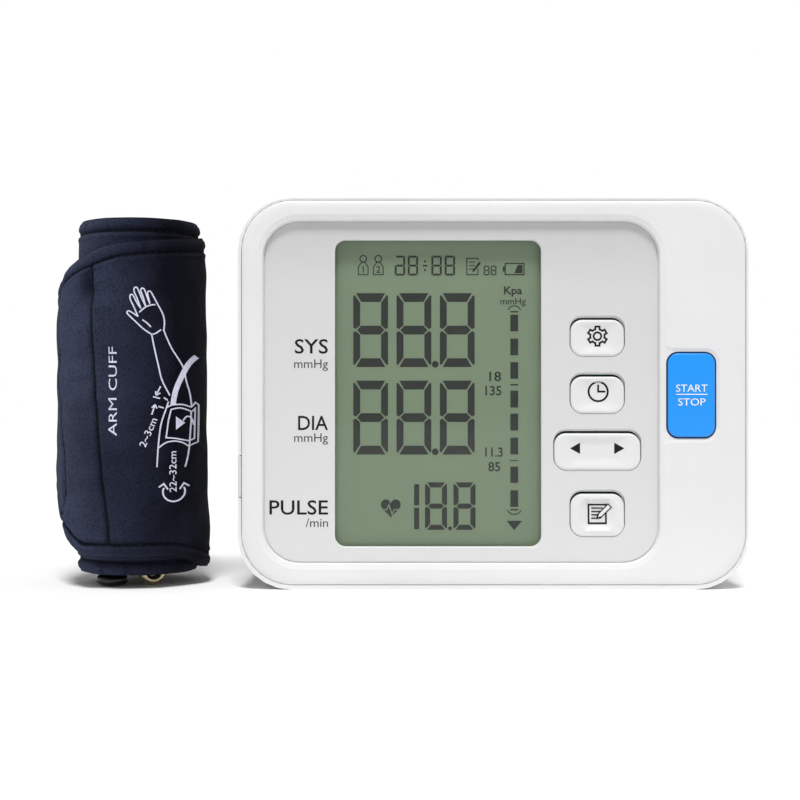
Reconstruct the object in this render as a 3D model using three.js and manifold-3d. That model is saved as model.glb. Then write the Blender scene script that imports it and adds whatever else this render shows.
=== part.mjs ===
// Upper arm blood pressure monitor with its rolled arm cuff, as an assembly of separate solids.
// Units are millimetres, +Z is up, +X is to the right and the display faces -Y.
// The origin is the centre of the base face that the monitor stands on.

import * as THREE from 'three';
import { mergeVertices } from 'three/addons/utils/BufferGeometryUtils.js';
import Module from 'manifold-3d';

const wasm = await Module();
wasm.setup();

// ---------------------------------------------------------------- driving dimensions

const GAP = 0.3;                 // clearance kept between neighbouring solids
const WALL = 2.2;                // moulded wall thickness of the casing

const FRONT_Y = -18;             // face of the frame around the recessed panel
const PANEL_Y = -15.8;           // floor of the recess
const PANEL_BACK_Y = PANEL_Y + WALL;
const PARTING_Y = -13;           // where the front tray meets the rear tub
const RIM_Y = -17.2;             // front of the tub's thin rim, which surrounds the tray
const BOARD_FRONT_Y = -4.5;
const BOARD_BACK_Y = -2.9;

const FRONT = { x: 0, z: 64.45, width: 164.5, height: 125.3, radius: 16.5 };
const REAR = { x: -0.15, z: 64, width: 166.9, height: 128, radius: 17.5 };
const RECESS = { x: -10.55, z: 64.6, width: 128.9, height: 111.6, radius: 11.5 };
const RECESS_LIP = 1.4;          // sloped band between the frame and the recess floor
const WINDOW = { x: -18.3, z: 63.9, width: 67.3, height: 100.1, radius: 3.3 };

const BACK_BASE_Y = 20;          // rear face at the height of the base
const BACK_SLOPE = 0.143;        // the casing deepens towards its top
const BACK_TILT = Math.atan(BACK_SLOPE);
const BACK_EDGE = 4;             // rounding of the rear edges

const KEY_X = 34.1;              // centre line of the column of small keys
const POCKET_DEPTH = 1.0;
const KEY_SIDE_GAP = 0.6;        // between a key and its pocket at the sides
const KEY_TOP_GAP = 1.3;         // and above it, where the pocket's wall shows
const KEY_BASE_GAP = 0.4;        // and below it
const KEY_FLANGE = 1.2;          // how far a key's flange reaches behind the wall
const KEY_STEM_END_Y = -8.9;
const KEYS = {
  settings: { x: KEY_X, z: 83.0, width: 18.2, height: 13.3, radius: 4.2 },
  clock: { x: KEY_X, z: 64.3, width: 18.2, height: 13.4, radius: 4.2 },
  arrows: { x: KEY_X, z: 45.7, width: 28.9, height: 13.4, radius: 4.2 },
  memory: { x: KEY_X, z: 24.9, width: 18.2, height: 15.2, radius: 4.2 },
};
const START = { x: 64.5, z: 63.6, width: 15.8, height: 27.8, radius: 3.6 };
const START_PROUD = 0.5;
const START_MARGIN = 0.9;        // width of the lowered band around the start key
const BAND_DEPTH = 0.5;

const SCREW_X = 70;
const SCREW_Z = [26, 104];
const POST_RADIUS = 3.3;         // screw posts of the front tray
const POST_HOLE = 1.5;
const POST_HOLE_Y = -11.6;       // blind end of the hole in a post
const BOSS_RADIUS = 4;           // screw bosses of the rear tub
const SHANK_HOLE = 1.6;
const HEAD_WELL = 2.9;
const HEAD_SEAT_Y = 0.4;         // where a screw's head bears on its boss

const BATTERY = { radius: 7.1, length: 49, nubRadius: 2.7, nubLength: 1.5, pitch: 14.9 };
const BAY = { x: 14.5, width: 58, low: 16, high: 76.4, depth: 17.2, wall: 1.6 };
const DOOR = { width: 61.4, low: 14.3, high: 79.7, thickness: 2.0 };
const DOOR_SEAT = 2.3;           // depth of the rebate that the door lies in
const DOOR_RIM = 1.9;            // extra wall round the rebate
const LATCH_HALF = 5;
const HINGE_TABS = [BAY.x - 20, BAY.x + 20];
const TAB_HALF = 4;
const FEET = [[-64, 12], [64, 12], [-64, 114], [64, 114]];
const FOOT_SEAT = 6.4;
const VENTS = { low: 60, count: 5, pitch: 5, height: 1.6, left: -62, right: -42 };

const AIR_SOCKET = { y: 6, z: 37, radius: 4.4, bore: 3.3, halfPlate: 7 };
const POWER_JACK = { y: 2.9, z: 48, hole: 3.9 };

const CUFF = {
  x: -121.1,
  y: 3,
  drift: 2.0,                    // how far the inner turns lie to the right of the outer one
  halfWidth: 25.3,
  halfDepth: 25.3,
  pitch: 2.25,                   // growth of the roll per turn
  turns: 3.7,
  stepsPerTurn: 20,
  cloth: 0.5,
  bladder: 0.6,
  plyGap: 0.2,                   // between a layer and the next one in the same ply
  hookLift: 2.3,                 // extra room under the free end for the hook pad
  low: 4.6,                      // lower and upper edge of the inner turns
  high: 121.8,
};
const PLY = 2 * CUFF.cloth + CUFF.bladder + 2 * CUFF.plyGap;

// ---------------------------------------------------------------- solids and booleans

function asSolid(geometry) {
  const bare = geometry.clone();
  bare.deleteAttribute('normal');
  bare.deleteAttribute('uv');
  const merged = mergeVertices(bare, 1e-4);
  return new wasm.Manifold(new wasm.Mesh({
    numProp: 3,
    vertProperties: new Float32Array(merged.attributes.position.array),
    triVerts: new Uint32Array(merged.index.array),
  }));
}

function asGeometry(solid) {
  const mesh = solid.getMesh();
  const geometry = new THREE.BufferGeometry();
  geometry.setAttribute('position', new THREE.BufferAttribute(new Float32Array(mesh.vertProperties), 3));
  geometry.setIndex(new THREE.BufferAttribute(new Uint32Array(mesh.triVerts), 1));
  geometry.computeVertexNormals();
  return geometry;
}

function joined(...geometries) {
  return asGeometry(geometries.map(asSolid).reduce((sum, next) => sum.add(next)));
}

function cutBy(geometry, ...tools) {
  return asGeometry(tools.map(asSolid).reduce((left, tool) => left.subtract(tool), asSolid(geometry)));
}

function common(first, second) {
  return asGeometry(asSolid(first).intersect(asSolid(second)));
}

// Points of a rounded rectangle in X and Z, anticlockwise as seen from the front.
function roundedRing({ x = 0, z = 0, width, height, radius }, steps = 5) {
  const corners = [[1, -1, -90], [1, 1, 0], [-1, 1, 90], [-1, -1, 180]];
  const points = [];
  for (const [sideX, sideZ, start] of corners) {
    const centreX = x + sideX * (width / 2 - radius);
    const centreZ = z + sideZ * (height / 2 - radius);
    for (let step = 0; step <= steps; step += 1) {
      const angle = THREE.MathUtils.degToRad(start + (90 * step) / steps);
      points.push([centreX + radius * Math.cos(angle), centreZ + radius * Math.sin(angle)]);
    }
  }
  return points;
}

function inset(outline, amount) {
  return {
    ...outline,
    width: outline.width - 2 * amount,
    height: outline.height - 2 * amount,
    radius: Math.max(outline.radius - amount, 0.4),
  };
}

// Closed body through rings of points that share one count, listed from front to back.
function loft(rings) {
  const count = rings[0].length;
  const positions = rings.flat(2);
  const indices = [];
  for (let ring = 0; ring + 1 < rings.length; ring += 1) {
    for (let i = 0; i < count; i += 1) {
      const next = (i + 1) % count;
      const [a, b] = [ring * count + i, ring * count + next];
      indices.push(a, a + count, b, b, a + count, b + count);
    }
  }
  const caps = [[0, false], [rings.length - 1, true]];
  for (const [ring, reversed] of caps) {
    const centre = positions.length / 3;
    const sum = rings[ring].reduce((total, p) => total.map((value, axis) => value + p[axis]), [0, 0, 0]);
    positions.push(...sum.map((value) => value / count));
    for (let i = 0; i < count; i += 1) {
      const [a, b] = [ring * count + i, ring * count + ((i + 1) % count)];
      indices.push(...(reversed ? [centre, b, a] : [centre, a, b]));
    }
  }
  const geometry = new THREE.BufferGeometry();
  geometry.setAttribute('position', new THREE.BufferAttribute(new Float32Array(positions), 3));
  geometry.setIndex(indices);
  geometry.computeVertexNormals();
  return geometry;
}

// Rounded plate whose layers are { outline, y }; y is a number or a function of height.
function plate(layers, steps = 5) {
  return loft(layers.map(({ outline, y }) => roundedRing(outline, steps)
    .map(([x, z]) => [x, typeof y === 'function' ? y(z) : y, z])));
}

function slab(outline, frontY, backY, steps = 5) {
  return plate([{ outline, y: frontY }, { outline, y: backY }], steps);
}

// Layers of a front edge rounded by a quarter circle.
function roundedEdge(outline, frontY, edge, steps = 3) {
  return Array.from({ length: steps + 1 }, (_, step) => {
    const angle = (Math.PI / 2) * (step / steps);
    return {
      outline: inset(outline, edge * (1 - Math.sin(angle))),
      y: frontY + edge * (1 - Math.cos(angle)),
    };
  });
}

function box(low, high) {
  const size = high.map((value, axis) => value - low[axis]);
  const centre = high.map((value, axis) => (value + low[axis]) / 2);
  return new THREE.BoxGeometry(...size).translate(...centre);
}

// Cylinder between two heights on an axis through the given point.
function rod(axis, from, to, radius, [u, v], sides = 16) {
  const geometry = new THREE.CylinderGeometry(radius, radius, to - from, sides);
  const middle = (from + to) / 2;
  if (axis === 'x') return geometry.rotateZ(Math.PI / 2).translate(middle, u, v);
  if (axis === 'y') return geometry.translate(u, middle, v);
  return geometry.rotateX(Math.PI / 2).translate(u, v, middle);
}

// Body of revolution about X from [x, radius] pairs.
function turnedAboutX(profile, y, z, sides = 20) {
  const points = profile.map(([x, radius]) => new THREE.Vector2(radius, x));
  return new THREE.LatheGeometry(points, sides).rotateZ(-Math.PI / 2).translate(0, y, z);
}

// Round hose or wire through hand-picked points.
function hose(points, radius, steps, sides = 8) {
  const knots = points.map((point) => new THREE.Vector3(...point));
  const path = new THREE.CatmullRomCurve3(knots, false, 'centripetal');
  const ring = Array.from({ length: sides }, (_, i) => {
    const angle = (i / sides) * Math.PI * 2;
    return new THREE.Vector2(radius * Math.cos(angle), radius * Math.sin(angle));
  });
  const along = { steps, bevelEnabled: false, extrudePath: path };
  return new THREE.ExtrudeGeometry(new THREE.Shape(ring), along);
}

// ---------------------------------------------------------------- materials

const FINISHES = {
  casing: { color: 0xe9eaec, roughness: 0.42, metalness: 0 },
  key: { color: 0xe2e3e5, roughness: 0.5, metalness: 0 },
  blueKey: { color: 0x3aa2ff, roughness: 0.35, metalness: 0 },
  lens: { color: 0xb9c7b2, roughness: 0.05, metalness: 0 },
  display: { color: 0x7c8f77, roughness: 0.2, metalness: 0 },
  whitePlastic: { color: 0xdcdcd6, roughness: 0.6, metalness: 0 },
  blackPlastic: { color: 0x1b1c1f, roughness: 0.45, metalness: 0 },
  board: { color: 0x1f6b3c, roughness: 0.5, metalness: 0 },
  chip: { color: 0x18181a, roughness: 0.6, metalness: 0 },
  steel: { color: 0xb8bbbd, roughness: 0.3, metalness: 1 },
  brass: { color: 0xc9b37a, roughness: 0.28, metalness: 1 },
  silicone: { color: 0xd8d4c4, roughness: 0.6, metalness: 0 },
  rubber: { color: 0x2a2b2d, roughness: 0.9, metalness: 0 },
  battery: { color: 0x2f3a44, roughness: 0.35, metalness: 0.4 },
  cloth: { color: 0x20253f, roughness: 0.95, metalness: 0 },
  lining: { color: 0x1a1e33, roughness: 0.95, metalness: 0 },
  bladder: { color: 0x3b3f46, roughness: 0.6, metalness: 0 },
  hook: { color: 0x15161c, roughness: 1, metalness: 0 },
};

function named(name, geometry, finish) {
  const mesh = new THREE.Mesh(geometry, new THREE.MeshStandardMaterial(FINISHES[finish]));
  mesh.name = name;
  return mesh;
}

// ---------------------------------------------------------------- casing

// Outline of a small key's cap, which sits low in its pocket.
function capOutline(key) {
  return {
    x: key.x,
    z: key.z - (KEY_TOP_GAP - KEY_BASE_GAP) / 2,
    width: key.width - 2 * KEY_SIDE_GAP,
    height: key.height - KEY_TOP_GAP - KEY_BASE_GAP,
    radius: key.radius - KEY_SIDE_GAP,
  };
}

const backY = (z) => BACK_BASE_Y + BACK_SLOPE * z;
const backFrame = new THREE.Matrix4()
  .makeRotationX(-BACK_TILT)
  .setPosition(0, BACK_BASE_Y, 0);
const onBack = (geometry) => geometry.applyMatrix4(backFrame);

function frontCover() {
  const body = plate([...roundedEdge(FRONT, FRONT_Y, 3), { outline: FRONT, y: PARTING_Y }], 7);
  const core = slab(inset(FRONT, WALL), FRONT_Y + WALL, PARTING_Y + 1, 5);
  const backing = slab(inset(RECESS, -RECESS_LIP - WALL), FRONT_Y, PANEL_BACK_Y, 6);
  const recess = plate([
    { outline: inset(RECESS, -RECESS_LIP - 0.3), y: FRONT_Y - 0.5 },
    { outline: inset(RECESS, -RECESS_LIP), y: FRONT_Y },
    { outline: RECESS, y: PANEL_Y },
  ], 6);
  const window = slab(WINDOW, FRONT_Y, PANEL_BACK_Y + 1, 3);
  const pockets = Object.values(KEYS).flatMap((key) => [
    slab(key, FRONT_Y, PANEL_Y + POCKET_DEPTH, 3),
    slab(inset(capOutline(key), -GAP), FRONT_Y, PANEL_BACK_Y + 1, 3),
  ]);
  const bandOutline = { ...inset(START, -START_MARGIN), x: START.x - 1 };
  const band = slab(bandOutline, FRONT_Y - 1, FRONT_Y + BAND_DEPTH, 3);
  const startHole = slab(inset(START, -GAP), FRONT_Y - 2, PARTING_Y + 1, 3);
  const startFlangeSeat = slab(inset(START, -KEY_FLANGE - GAP), FRONT_Y + WALL, PARTING_Y + 1, 3);
  const posts = [];
  const postHoles = [];
  for (const x of [-SCREW_X, SCREW_X]) {
    for (const z of SCREW_Z) {
      const rootY = x < 0 ? PANEL_Y + 1 : FRONT_Y + 1;
      posts.push(rod('y', rootY, BOARD_FRONT_Y - GAP, POST_RADIUS, [x, z], 12));
      postHoles.push(rod('y', POST_HOLE_Y, BOARD_FRONT_Y + 1, POST_HOLE, [x, z], 12));
    }
  }
  const shell = cutBy(body, cutBy(core, backing));
  return cutBy(
    joined(shell, ...posts),
    recess, window, band, ...pockets, startHole, startFlangeSeat, ...postHoles,
  );
}

function rearBody(margin, frontY) {
  const outline = inset(REAR, margin);
  const edge = Math.max(BACK_EDGE - margin, 1.5);
  const skin = margin / Math.cos(BACK_TILT);
  const layers = roundedEdge(outline, 0, edge, 3).reverse()
    .map(({ outline: ring, y }) => ({ outline: ring, y: (z) => backY(z) - skin - y }));
  return plate([{ outline, y: frontY }, ...layers], 6);
}

function bayBlock(margin, low, high, floor) {
  return box(
    [BAY.x - BAY.width / 2 - margin, floor, low],
    [BAY.x + BAY.width / 2 + margin, 0, high],
  );
}

function rearCover() {
  const traySeat = slab(inset(FRONT, -GAP), RIM_Y - 1, PARTING_Y + GAP, 7);
  const shell = cutBy(rearBody(0, RIM_Y), traySeat, rearBody(WALL, PARTING_Y - 1));
  const envelope = rearBody(0.2, PARTING_Y + GAP);
  const { wall } = BAY;
  const bayWalls = onBack(bayBlock(wall, BAY.low - wall, BAY.high + wall, -BAY.depth - wall));
  const rimReach = (DOOR.width - BAY.width) / 2 + DOOR_RIM;
  const rimFloor = -DOOR_SEAT - DOOR_RIM;
  const bayRim = onBack(bayBlock(rimReach, DOOR.low - DOOR_RIM, DOOR.high + DOOR_RIM, rimFloor));
  const bosses = [];
  const wells = [];
  for (const x of [-SCREW_X, SCREW_X]) {
    for (const z of SCREW_Z) {
      bosses.push(common(rod('y', BOARD_BACK_Y + GAP, 45, BOSS_RADIUS, [x, z], 12), envelope));
      wells.push(rod('y', BOARD_BACK_Y - 1, 1, SHANK_HOLE, [x, z], 12));
      wells.push(rod('y', HEAD_SEAT_Y, 50, HEAD_WELL, [x, z], 12));
    }
  }
  const hollow = onBack(box(
    [BAY.x - BAY.width / 2, -BAY.depth, BAY.low],
    [BAY.x + BAY.width / 2, 3, BAY.high],
  ));
  const doorSeat = onBack(box(
    [BAY.x - DOOR.width / 2 - GAP, -DOOR_SEAT, DOOR.low - GAP],
    [BAY.x + DOOR.width / 2 + GAP, 3, DOOR.high + GAP],
  ));
  const latchReach = LATCH_HALF + 0.4;
  const latchNotch = onBack(box([BAY.x - latchReach, -4.9, BAY.high - 1], [BAY.x + latchReach, -1, 79]));
  const tabReach = TAB_HALF + 0.4;
  const tabPockets = HINGE_TABS.map((x) => (
    onBack(box([x - tabReach, -5.6, 12.9], [x + tabReach, -DOOR_SEAT, 18]))
  ));
  const footSeats = FEET.map(([x, z]) => onBack(rod('y', -1, 3, FOOT_SEAT, [x, z], 16)));
  const socketNotch = box(
    [-90, RIM_Y - 1, AIR_SOCKET.z - AIR_SOCKET.halfPlate],
    [-78, AIR_SOCKET.y + AIR_SOCKET.halfPlate, AIR_SOCKET.z + AIR_SOCKET.halfPlate],
  );
  const jackHole = rod('x', 75, 90, POWER_JACK.hole, [POWER_JACK.y, POWER_JACK.z], 16);
  const vents = Array.from({ length: VENTS.count }, (_, slot) => {
    const low = VENTS.low + slot * VENTS.pitch;
    return onBack(box([VENTS.left, -4, low], [VENTS.right, 2, low + VENTS.height]));
  });
  return cutBy(
    joined(shell, bayWalls, bayRim, ...bosses),
    hollow, doorSeat, latchNotch, ...tabPockets, ...footSeats, ...wells, socketNotch, jackHole, ...vents,
  );
}

function casingScrew() {
  const profile = [[-10.4, 0], [-10.4, 1.2], [0.7, 1.2], [0.7, 2.6], [2.2, 2.6], [2.7, 1.8], [2.7, 0]];
  const screw = turnedAboutX(profile, 0, 0, 10).rotateZ(Math.PI / 2);
  const driveSlots = [
    box([-1.6, 1.7, -0.35], [1.6, 3, 0.35]),
    box([-0.35, 1.7, -1.6], [0.35, 3, 1.6]),
  ];
  return cutBy(screw, ...driveSlots);
}

function batteryDoor() {
  const left = BAY.x - DOOR.width / 2;
  const right = BAY.x + DOOR.width / 2;
  const panel = box([left, -0.05 - DOOR.thickness, DOOR.low], [right, -0.05, DOOR.high]);
  const latch = box([BAY.x - LATCH_HALF, -4.5, 77.2], [BAY.x + LATCH_HALF, -1, 78.4]);
  const tabs = HINGE_TABS.flatMap((x) => [
    box([x - TAB_HALF, -4.3, 15], [x + TAB_HALF, -1, 16.6]),
    box([x - TAB_HALF, -4.3, 13.2], [x + TAB_HALF, -2.7, 16.6]),
  ]);
  const grips = Array.from({ length: 4 }, (_, row) => box(
    [BAY.x - 9, -0.8, 66 + row * 2.4],
    [BAY.x + 9, 1, 67.2 + row * 2.4],
  ));
  return cutBy(joined(panel, latch, ...tabs), ...grips);
}

function rubberFoot() {
  const profile = [[-0.7, 0], [-0.7, 6], [0.9, 6], [1.3, 5.6], [1.3, 0]];
  return turnedAboutX(profile, 0, 0, 16).rotateZ(Math.PI / 2);
}

// ---------------------------------------------------------------- display

const LENS_FRONT_Y = PANEL_Y + 0.8;
const GLASS = { ...WINDOW, width: 72, height: 105, radius: 1 };
const GLASS_FRONT_Y = -12.2;
const GLASS_BACK_Y = -10.2;
const ZEBRA = { x: WINDOW.x, z: 16, width: 60, height: 3, radius: 0.5 };

function displayWindow() {
  const pane = slab(inset(WINDOW, GAP / 2), LENS_FRONT_Y, -12.6, 3);
  const flange = slab(inset(WINDOW, -2), PANEL_BACK_Y + GAP, -12.5, 3);
  return joined(pane, flange);
}

function lcdHolder() {
  const ringOutline = inset(GLASS, -3);
  const ring = cutBy(
    slab(ringOutline, GLASS_FRONT_Y, BOARD_FRONT_Y - GAP, 2),
    slab(inset(GLASS, -GAP), FRONT_Y, BOARD_FRONT_Y + 1, 2),
  );
  const tray = cutBy(
    slab(inset(GLASS, 1 - 3), GLASS_BACK_Y + GAP, -8.3, 2),
    slab(inset(ZEBRA, -GAP), FRONT_Y, 0, 2),
  );
  return joined(ring, tray);
}

// ---------------------------------------------------------------- keys

// Cap with a crowned face, a flange that keeps it behind the wall, and a stem over its switch.
function pressKey(outline, faceY, wallBackY, crown, steps = 3) {
  const cap = plate([
    { outline: inset(outline, 1.5), y: faceY - crown },
    { outline: inset(outline, 0.5), y: faceY - crown * 0.45 },
    { outline, y: faceY + 0.5 },
    { outline, y: wallBackY + GAP + 0.2 },
  ], steps);
  const flange = slab(inset(outline, -KEY_FLANGE), wallBackY + GAP, wallBackY + GAP + 1, steps);
  const stem = rod('y', wallBackY + GAP + 0.5, KEY_STEM_END_Y, 2, [outline.x, outline.z], 10);
  return joined(cap, flange, stem);
}

function smallKey(key) {
  return pressKey(capOutline(key), PANEL_Y, PANEL_BACK_Y, 0.45);
}

// The memory key has a round dish in its face.
function dishedKey(key) {
  const { x, z } = capOutline(key);
  const dish = turnedAboutX([[-1, 0], [-1, 5.6], [-0.2, 5.2], [0.1, 3.6], [0.25, 0]], 0, 0, 20)
    .rotateZ(Math.PI / 2)
    .translate(x, PANEL_Y, z);
  return cutBy(smallKey(key), dish);
}

function rockerKey(key) {
  const outline = capOutline(key);
  const cap = plate([
    { outline: inset(outline, 1.2), y: PANEL_Y - 0.4 },
    { outline, y: PANEL_Y + 0.5 },
    { outline, y: PANEL_BACK_Y + 0.6 },
  ], 3);
  const lugY = PANEL_BACK_Y + GAP;
  const lug = box([key.x - 4, lugY, outline.z - 7.2], [key.x + 4, lugY + 1.2, outline.z + 7.2]);
  const stems = [-8.5, 8.5].map((offset) => (
    rod('y', lugY, KEY_STEM_END_Y - 0.1, 1.8, [key.x + offset, outline.z], 10)
  ));
  return joined(cap, lug, ...stems);
}

// ---------------------------------------------------------------- circuit board and its parts

const BOARD = { x: -1, z: 64, width: 152, height: 106, radius: 8 };
const centreOf = (key, offset = 0) => [key.x + offset, capOutline(key).z];
const SWITCHES = {
  switch_settings: centreOf(KEYS.settings),
  switch_clock: centreOf(KEYS.clock),
  switch_left: centreOf(KEYS.arrows, -8.5),
  switch_right: centreOf(KEYS.arrows, 8.5),
  switch_memory: centreOf(KEYS.memory),
  switch_start: [START.x, START.z],
};
const SENSOR = { x: -24, z: 26 };

function mainBoard() {
  const holes = [];
  for (const x of [-SCREW_X, SCREW_X]) {
    for (const z of SCREW_Z) holes.push(rod('y', -6, -1, 1.9, [x, z], 12));
  }
  return cutBy(slab(BOARD, BOARD_FRONT_Y, BOARD_BACK_Y, 3), ...holes);
}

function tactSwitch() {
  const housing = box([-3, -2.8, -3], [3, -GAP, 3]);
  return joined(housing, rod('y', -3.3, -2, 1.7, [0, 0], 10));
}

function processorChip() {
  return slab({ x: 60, z: 84, width: 14, height: 14, radius: 0.6 }, BOARD_BACK_Y + GAP, -1.1, 1);
}

function pressureSensor() {
  const baseY = BOARD_BACK_Y + GAP;
  const housing = box([SENSOR.x - 5, baseY, SENSOR.z - 5], [SENSOR.x + 5, baseY + 4, SENSOR.z + 5]);
  return joined(housing, rod('y', baseY + 3, baseY + 6.8, 1.4, [SENSOR.x, SENSOR.z], 10));
}

function buzzer() {
  const can = rod('y', BOARD_BACK_Y + GAP, 3.4, 6, [60, 30], 18);
  return cutBy(can, rod('y', 1.5, 5, 1.1, [60, 30], 8));
}

function capacitor() {
  return rod('y', BOARD_BACK_Y + GAP, 8, 4, [58, 104], 16);
}

// ---------------------------------------------------------------- air pump, valves and tubing

const PUMP = { x: -62, y: 11.8, radius: 11.9, motorLow: 44, motorHigh: 74, headHigh: 98 };
const CRANK = { shaft: 1.0, disc: 5, throw: 3, pin: 1.2 };
const MANIFOLD = { x: -40, y: 6, low: 20, high: 46, radius: 2.6 };
const VALVE = { x: -32, y: 11, low: 94, high: 110 };

function pumpMotor() {
  const can = rod('z', PUMP.motorLow, PUMP.motorHigh, PUMP.radius, [PUMP.x, PUMP.y], 24);
  const terminals = [-4, 4].map((offset) => (
    box([PUMP.x + offset - 1, PUMP.y - 0.4, 41], [PUMP.x + offset + 1, PUMP.y + 0.4, 45])
  ));
  const bearing = rod('z', 57, 76, CRANK.shaft + 0.08, [PUMP.x, PUMP.y], 16);
  return cutBy(joined(can, ...terminals), bearing);
}

function pumpHead() {
  const block = box(
    [PUMP.x - 13, PUMP.y - 11.7, PUMP.motorHigh + GAP],
    [PUMP.x + 13, PUMP.y + 11.7, PUMP.headHigh],
  );
  const outlet = rod('x', PUMP.x + 12, PUMP.x + 16.5, 2.0, [PUMP.y, 91], 10);
  const chamber = rod('z', PUMP.motorHigh - 1, 89, 8, [PUMP.x, PUMP.y], 20);
  return cutBy(joined(block, outlet), chamber);
}

function pumpCrank() {
  const shaft = rod('z', 58, 79, CRANK.shaft, [PUMP.x, PUMP.y], 16);
  const disc = rod('z', 78, 81, CRANK.disc, [PUMP.x, PUMP.y], 18);
  const pin = rod('z', 80, 86, CRANK.pin, [PUMP.x + CRANK.throw, PUMP.y], 10);
  return joined(shaft, disc, pin);
}

function valveBody() {
  const coil = box([VALVE.x - 8, VALVE.y - 7, VALVE.low], [VALVE.x + 8, VALVE.y + 7, VALVE.high]);
  const nozzle = rod('z', VALVE.low - 4, VALVE.low + 1, 2.0, [VALVE.x, VALVE.y], 10);
  const bore = rod('z', VALVE.low + 5, VALVE.high + 2, 2.7, [VALVE.x, VALVE.y], 16);
  return cutBy(joined(coil, nozzle), bore);
}

function valvePlunger() {
  const core = rod('z', VALVE.low + 6.8, VALVE.high + 2.5, 2.4, [VALVE.x, VALVE.y], 16);
  return joined(core, rod('z', VALVE.high + 1.7, VALVE.high + 3.2, 4, [VALVE.x, VALVE.y], 16));
}

function airManifold() {
  const spine = rod('z', MANIFOLD.low, MANIFOLD.high, MANIFOLD.radius, [MANIFOLD.x, MANIFOLD.y], 12);
  const arms = [
    rod('x', MANIFOLD.x - 5, MANIFOLD.x, 1.9, [MANIFOLD.y, AIR_SOCKET.z], 10),
    rod('x', MANIFOLD.x, MANIFOLD.x + 4.5, 1.9, [MANIFOLD.y, 41], 10),
    rod('x', MANIFOLD.x, MANIFOLD.x + 4, 1.4, [MANIFOLD.y, SENSOR.z], 10),
  ];
  return joined(spine, ...arms);
}

function leakValve() {
  const body = rod('z', 11, MANIFOLD.low - GAP, 3.6, [MANIFOLD.x, MANIFOLD.y], 14);
  return cutBy(body, rod('z', 9, 13, 0.8, [MANIFOLD.x, MANIFOLD.y], 8));
}

const TUBES = {
  tube_socket: {
    radius: 2.3,
    steps: 5,
    points: [[-63.7, 6, 37], [-58, 6.1, 37], [-51, 6.1, 37], [-45.3, 6, 37]],
  },
  tube_pump: {
    radius: 2.3,
    steps: 12,
    points: [[-45.1, 11.8, 91], [-43.9, 11.8, 91], [-41, 11.2, 88.4], [-40, 9.8, 82], [-40, 7.2, 68],
      [-40, 6, 54], [-40, 6, 46.4]],
  },
  tube_valve: {
    radius: 2.3,
    steps: 14,
    points: [[-32, 11, 89.6], [-31.8, 10.8, 82], [-30.4, 9, 66], [-29.2, 7, 52], [-29.6, 6.2, 45],
      [-31.6, 6, 42], [-34, 6, 41], [-35.1, 6, 41]],
  },
  tube_sensor: {
    radius: 1.6,
    steps: 14,
    points: [[-35.7, 6, 26], [-33, 6.6, 26], [-30.4, 9.2, 26], [-27.6, 11.4, 26], [-25, 10.4, 26],
      [-24, 7.6, 26], [-24, 4.5, 26]],
  },
};

function airSocket() {
  const { y, z, radius, bore, halfPlate } = AIR_SOCKET;
  const outerX = REAR.x - REAR.width / 2;
  const innerX = outerX + WALL + GAP;
  const edgeY = PARTING_Y + GAP;
  const half = halfPlate - GAP;
  const plateBody = box([outerX, edgeY, z - half], [innerX + 1, y + half, z + half]);
  const tongueX = FRONT.x - FRONT.width / 2 - GAP;
  const tongue = box([outerX, RIM_Y, z - half], [tongueX, edgeY + 1, z + half]);
  const lip = box([innerX, edgeY, z - halfPlate - 1], [innerX + 1, y + halfPlate + 1, z + halfPlate + 1]);
  const body = [[-82, 0], [-82, radius], [-69, radius], [-69, 2], [-64, 2], [-64, 0]];
  const barrel = turnedAboutX(body, y, z, 16);
  const mouth = [[-90, 0], [-90, bore], [-70.5, bore], [-70.5, 0.8], [-60, 0.8], [-60, 0]];
  return cutBy(joined(plateBody, tongue, lip, barrel), turnedAboutX(mouth, y, z, 16));
}

function powerJack() {
  const { y, z } = POWER_JACK;
  const housing = box([65, y - 5.3, z - 4.5], [79, y + 5.3, z + 4.5]);
  const barrel = rod('x', 68, 81, 2.9, [y, z], 16);
  return joined(cutBy(housing, barrel), rod('x', 67, 78, 1.0, [y, z], 10));
}

// ---------------------------------------------------------------- batteries and contacts

const BATTERY_Y = -(DOOR_SEAT + 0.35 + BATTERY.radius);
const BATTERY_Z = Array.from({ length: 4 }, (_, i) => BAY.low + 7.85 + BATTERY.pitch * i);
const BATTERY_REACH = BAY.width / 2 - 5.6;   // from the middle of the bay to a battery's flat end

// One cell lying along X with its positive nub at +X, about the middle of the bay.
function battery() {
  const { radius, length, nubRadius, nubLength } = BATTERY;
  const start = -BATTERY_REACH;
  const end = start + length;
  return turnedAboutX([
    [start, 0], [start, radius - 0.5], [start + 0.5, radius], [end - 0.6, radius], [end, radius - 0.6],
    [end, nubRadius], [end + nubLength, nubRadius - 0.3], [end + nubLength, 0],
  ], 0, 0, 16);
}

// Conical spring that grows from a contact plate towards +X.
function contactSpring(fromX, length, z) {
  const turns = 2.5;
  const points = Array.from({ length: 25 }, (_, i) => {
    const t = i / 24;
    const angle = t * turns * 2 * Math.PI;
    const radius = 4.6 - 1.8 * t;
    return [fromX + length * t, radius * Math.cos(angle), z + radius * Math.sin(angle)];
  });
  return hose(points, 0.45, 24, 4);
}

// Contact plate at the -X end of the bay: springs and domes at the given cell heights.
function contact(springs, domes) {
  const plateX = -BAY.width / 2 + GAP;
  const heights = [...springs, ...domes];
  const sheet = box(
    [plateX, -5.2, Math.min(...heights) - 5.2],
    [plateX + 0.5, 5.2, Math.max(...heights) + 5.2],
  );
  const coils = springs.map((z) => contactSpring(plateX + 0.35, 4.2, z));
  const buttons = domes.map((z) => rod('x', plateX + 0.3, plateX + 1.1, 2.4, [0, z], 10));
  return joined(sheet, ...coils, ...buttons);
}

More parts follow.
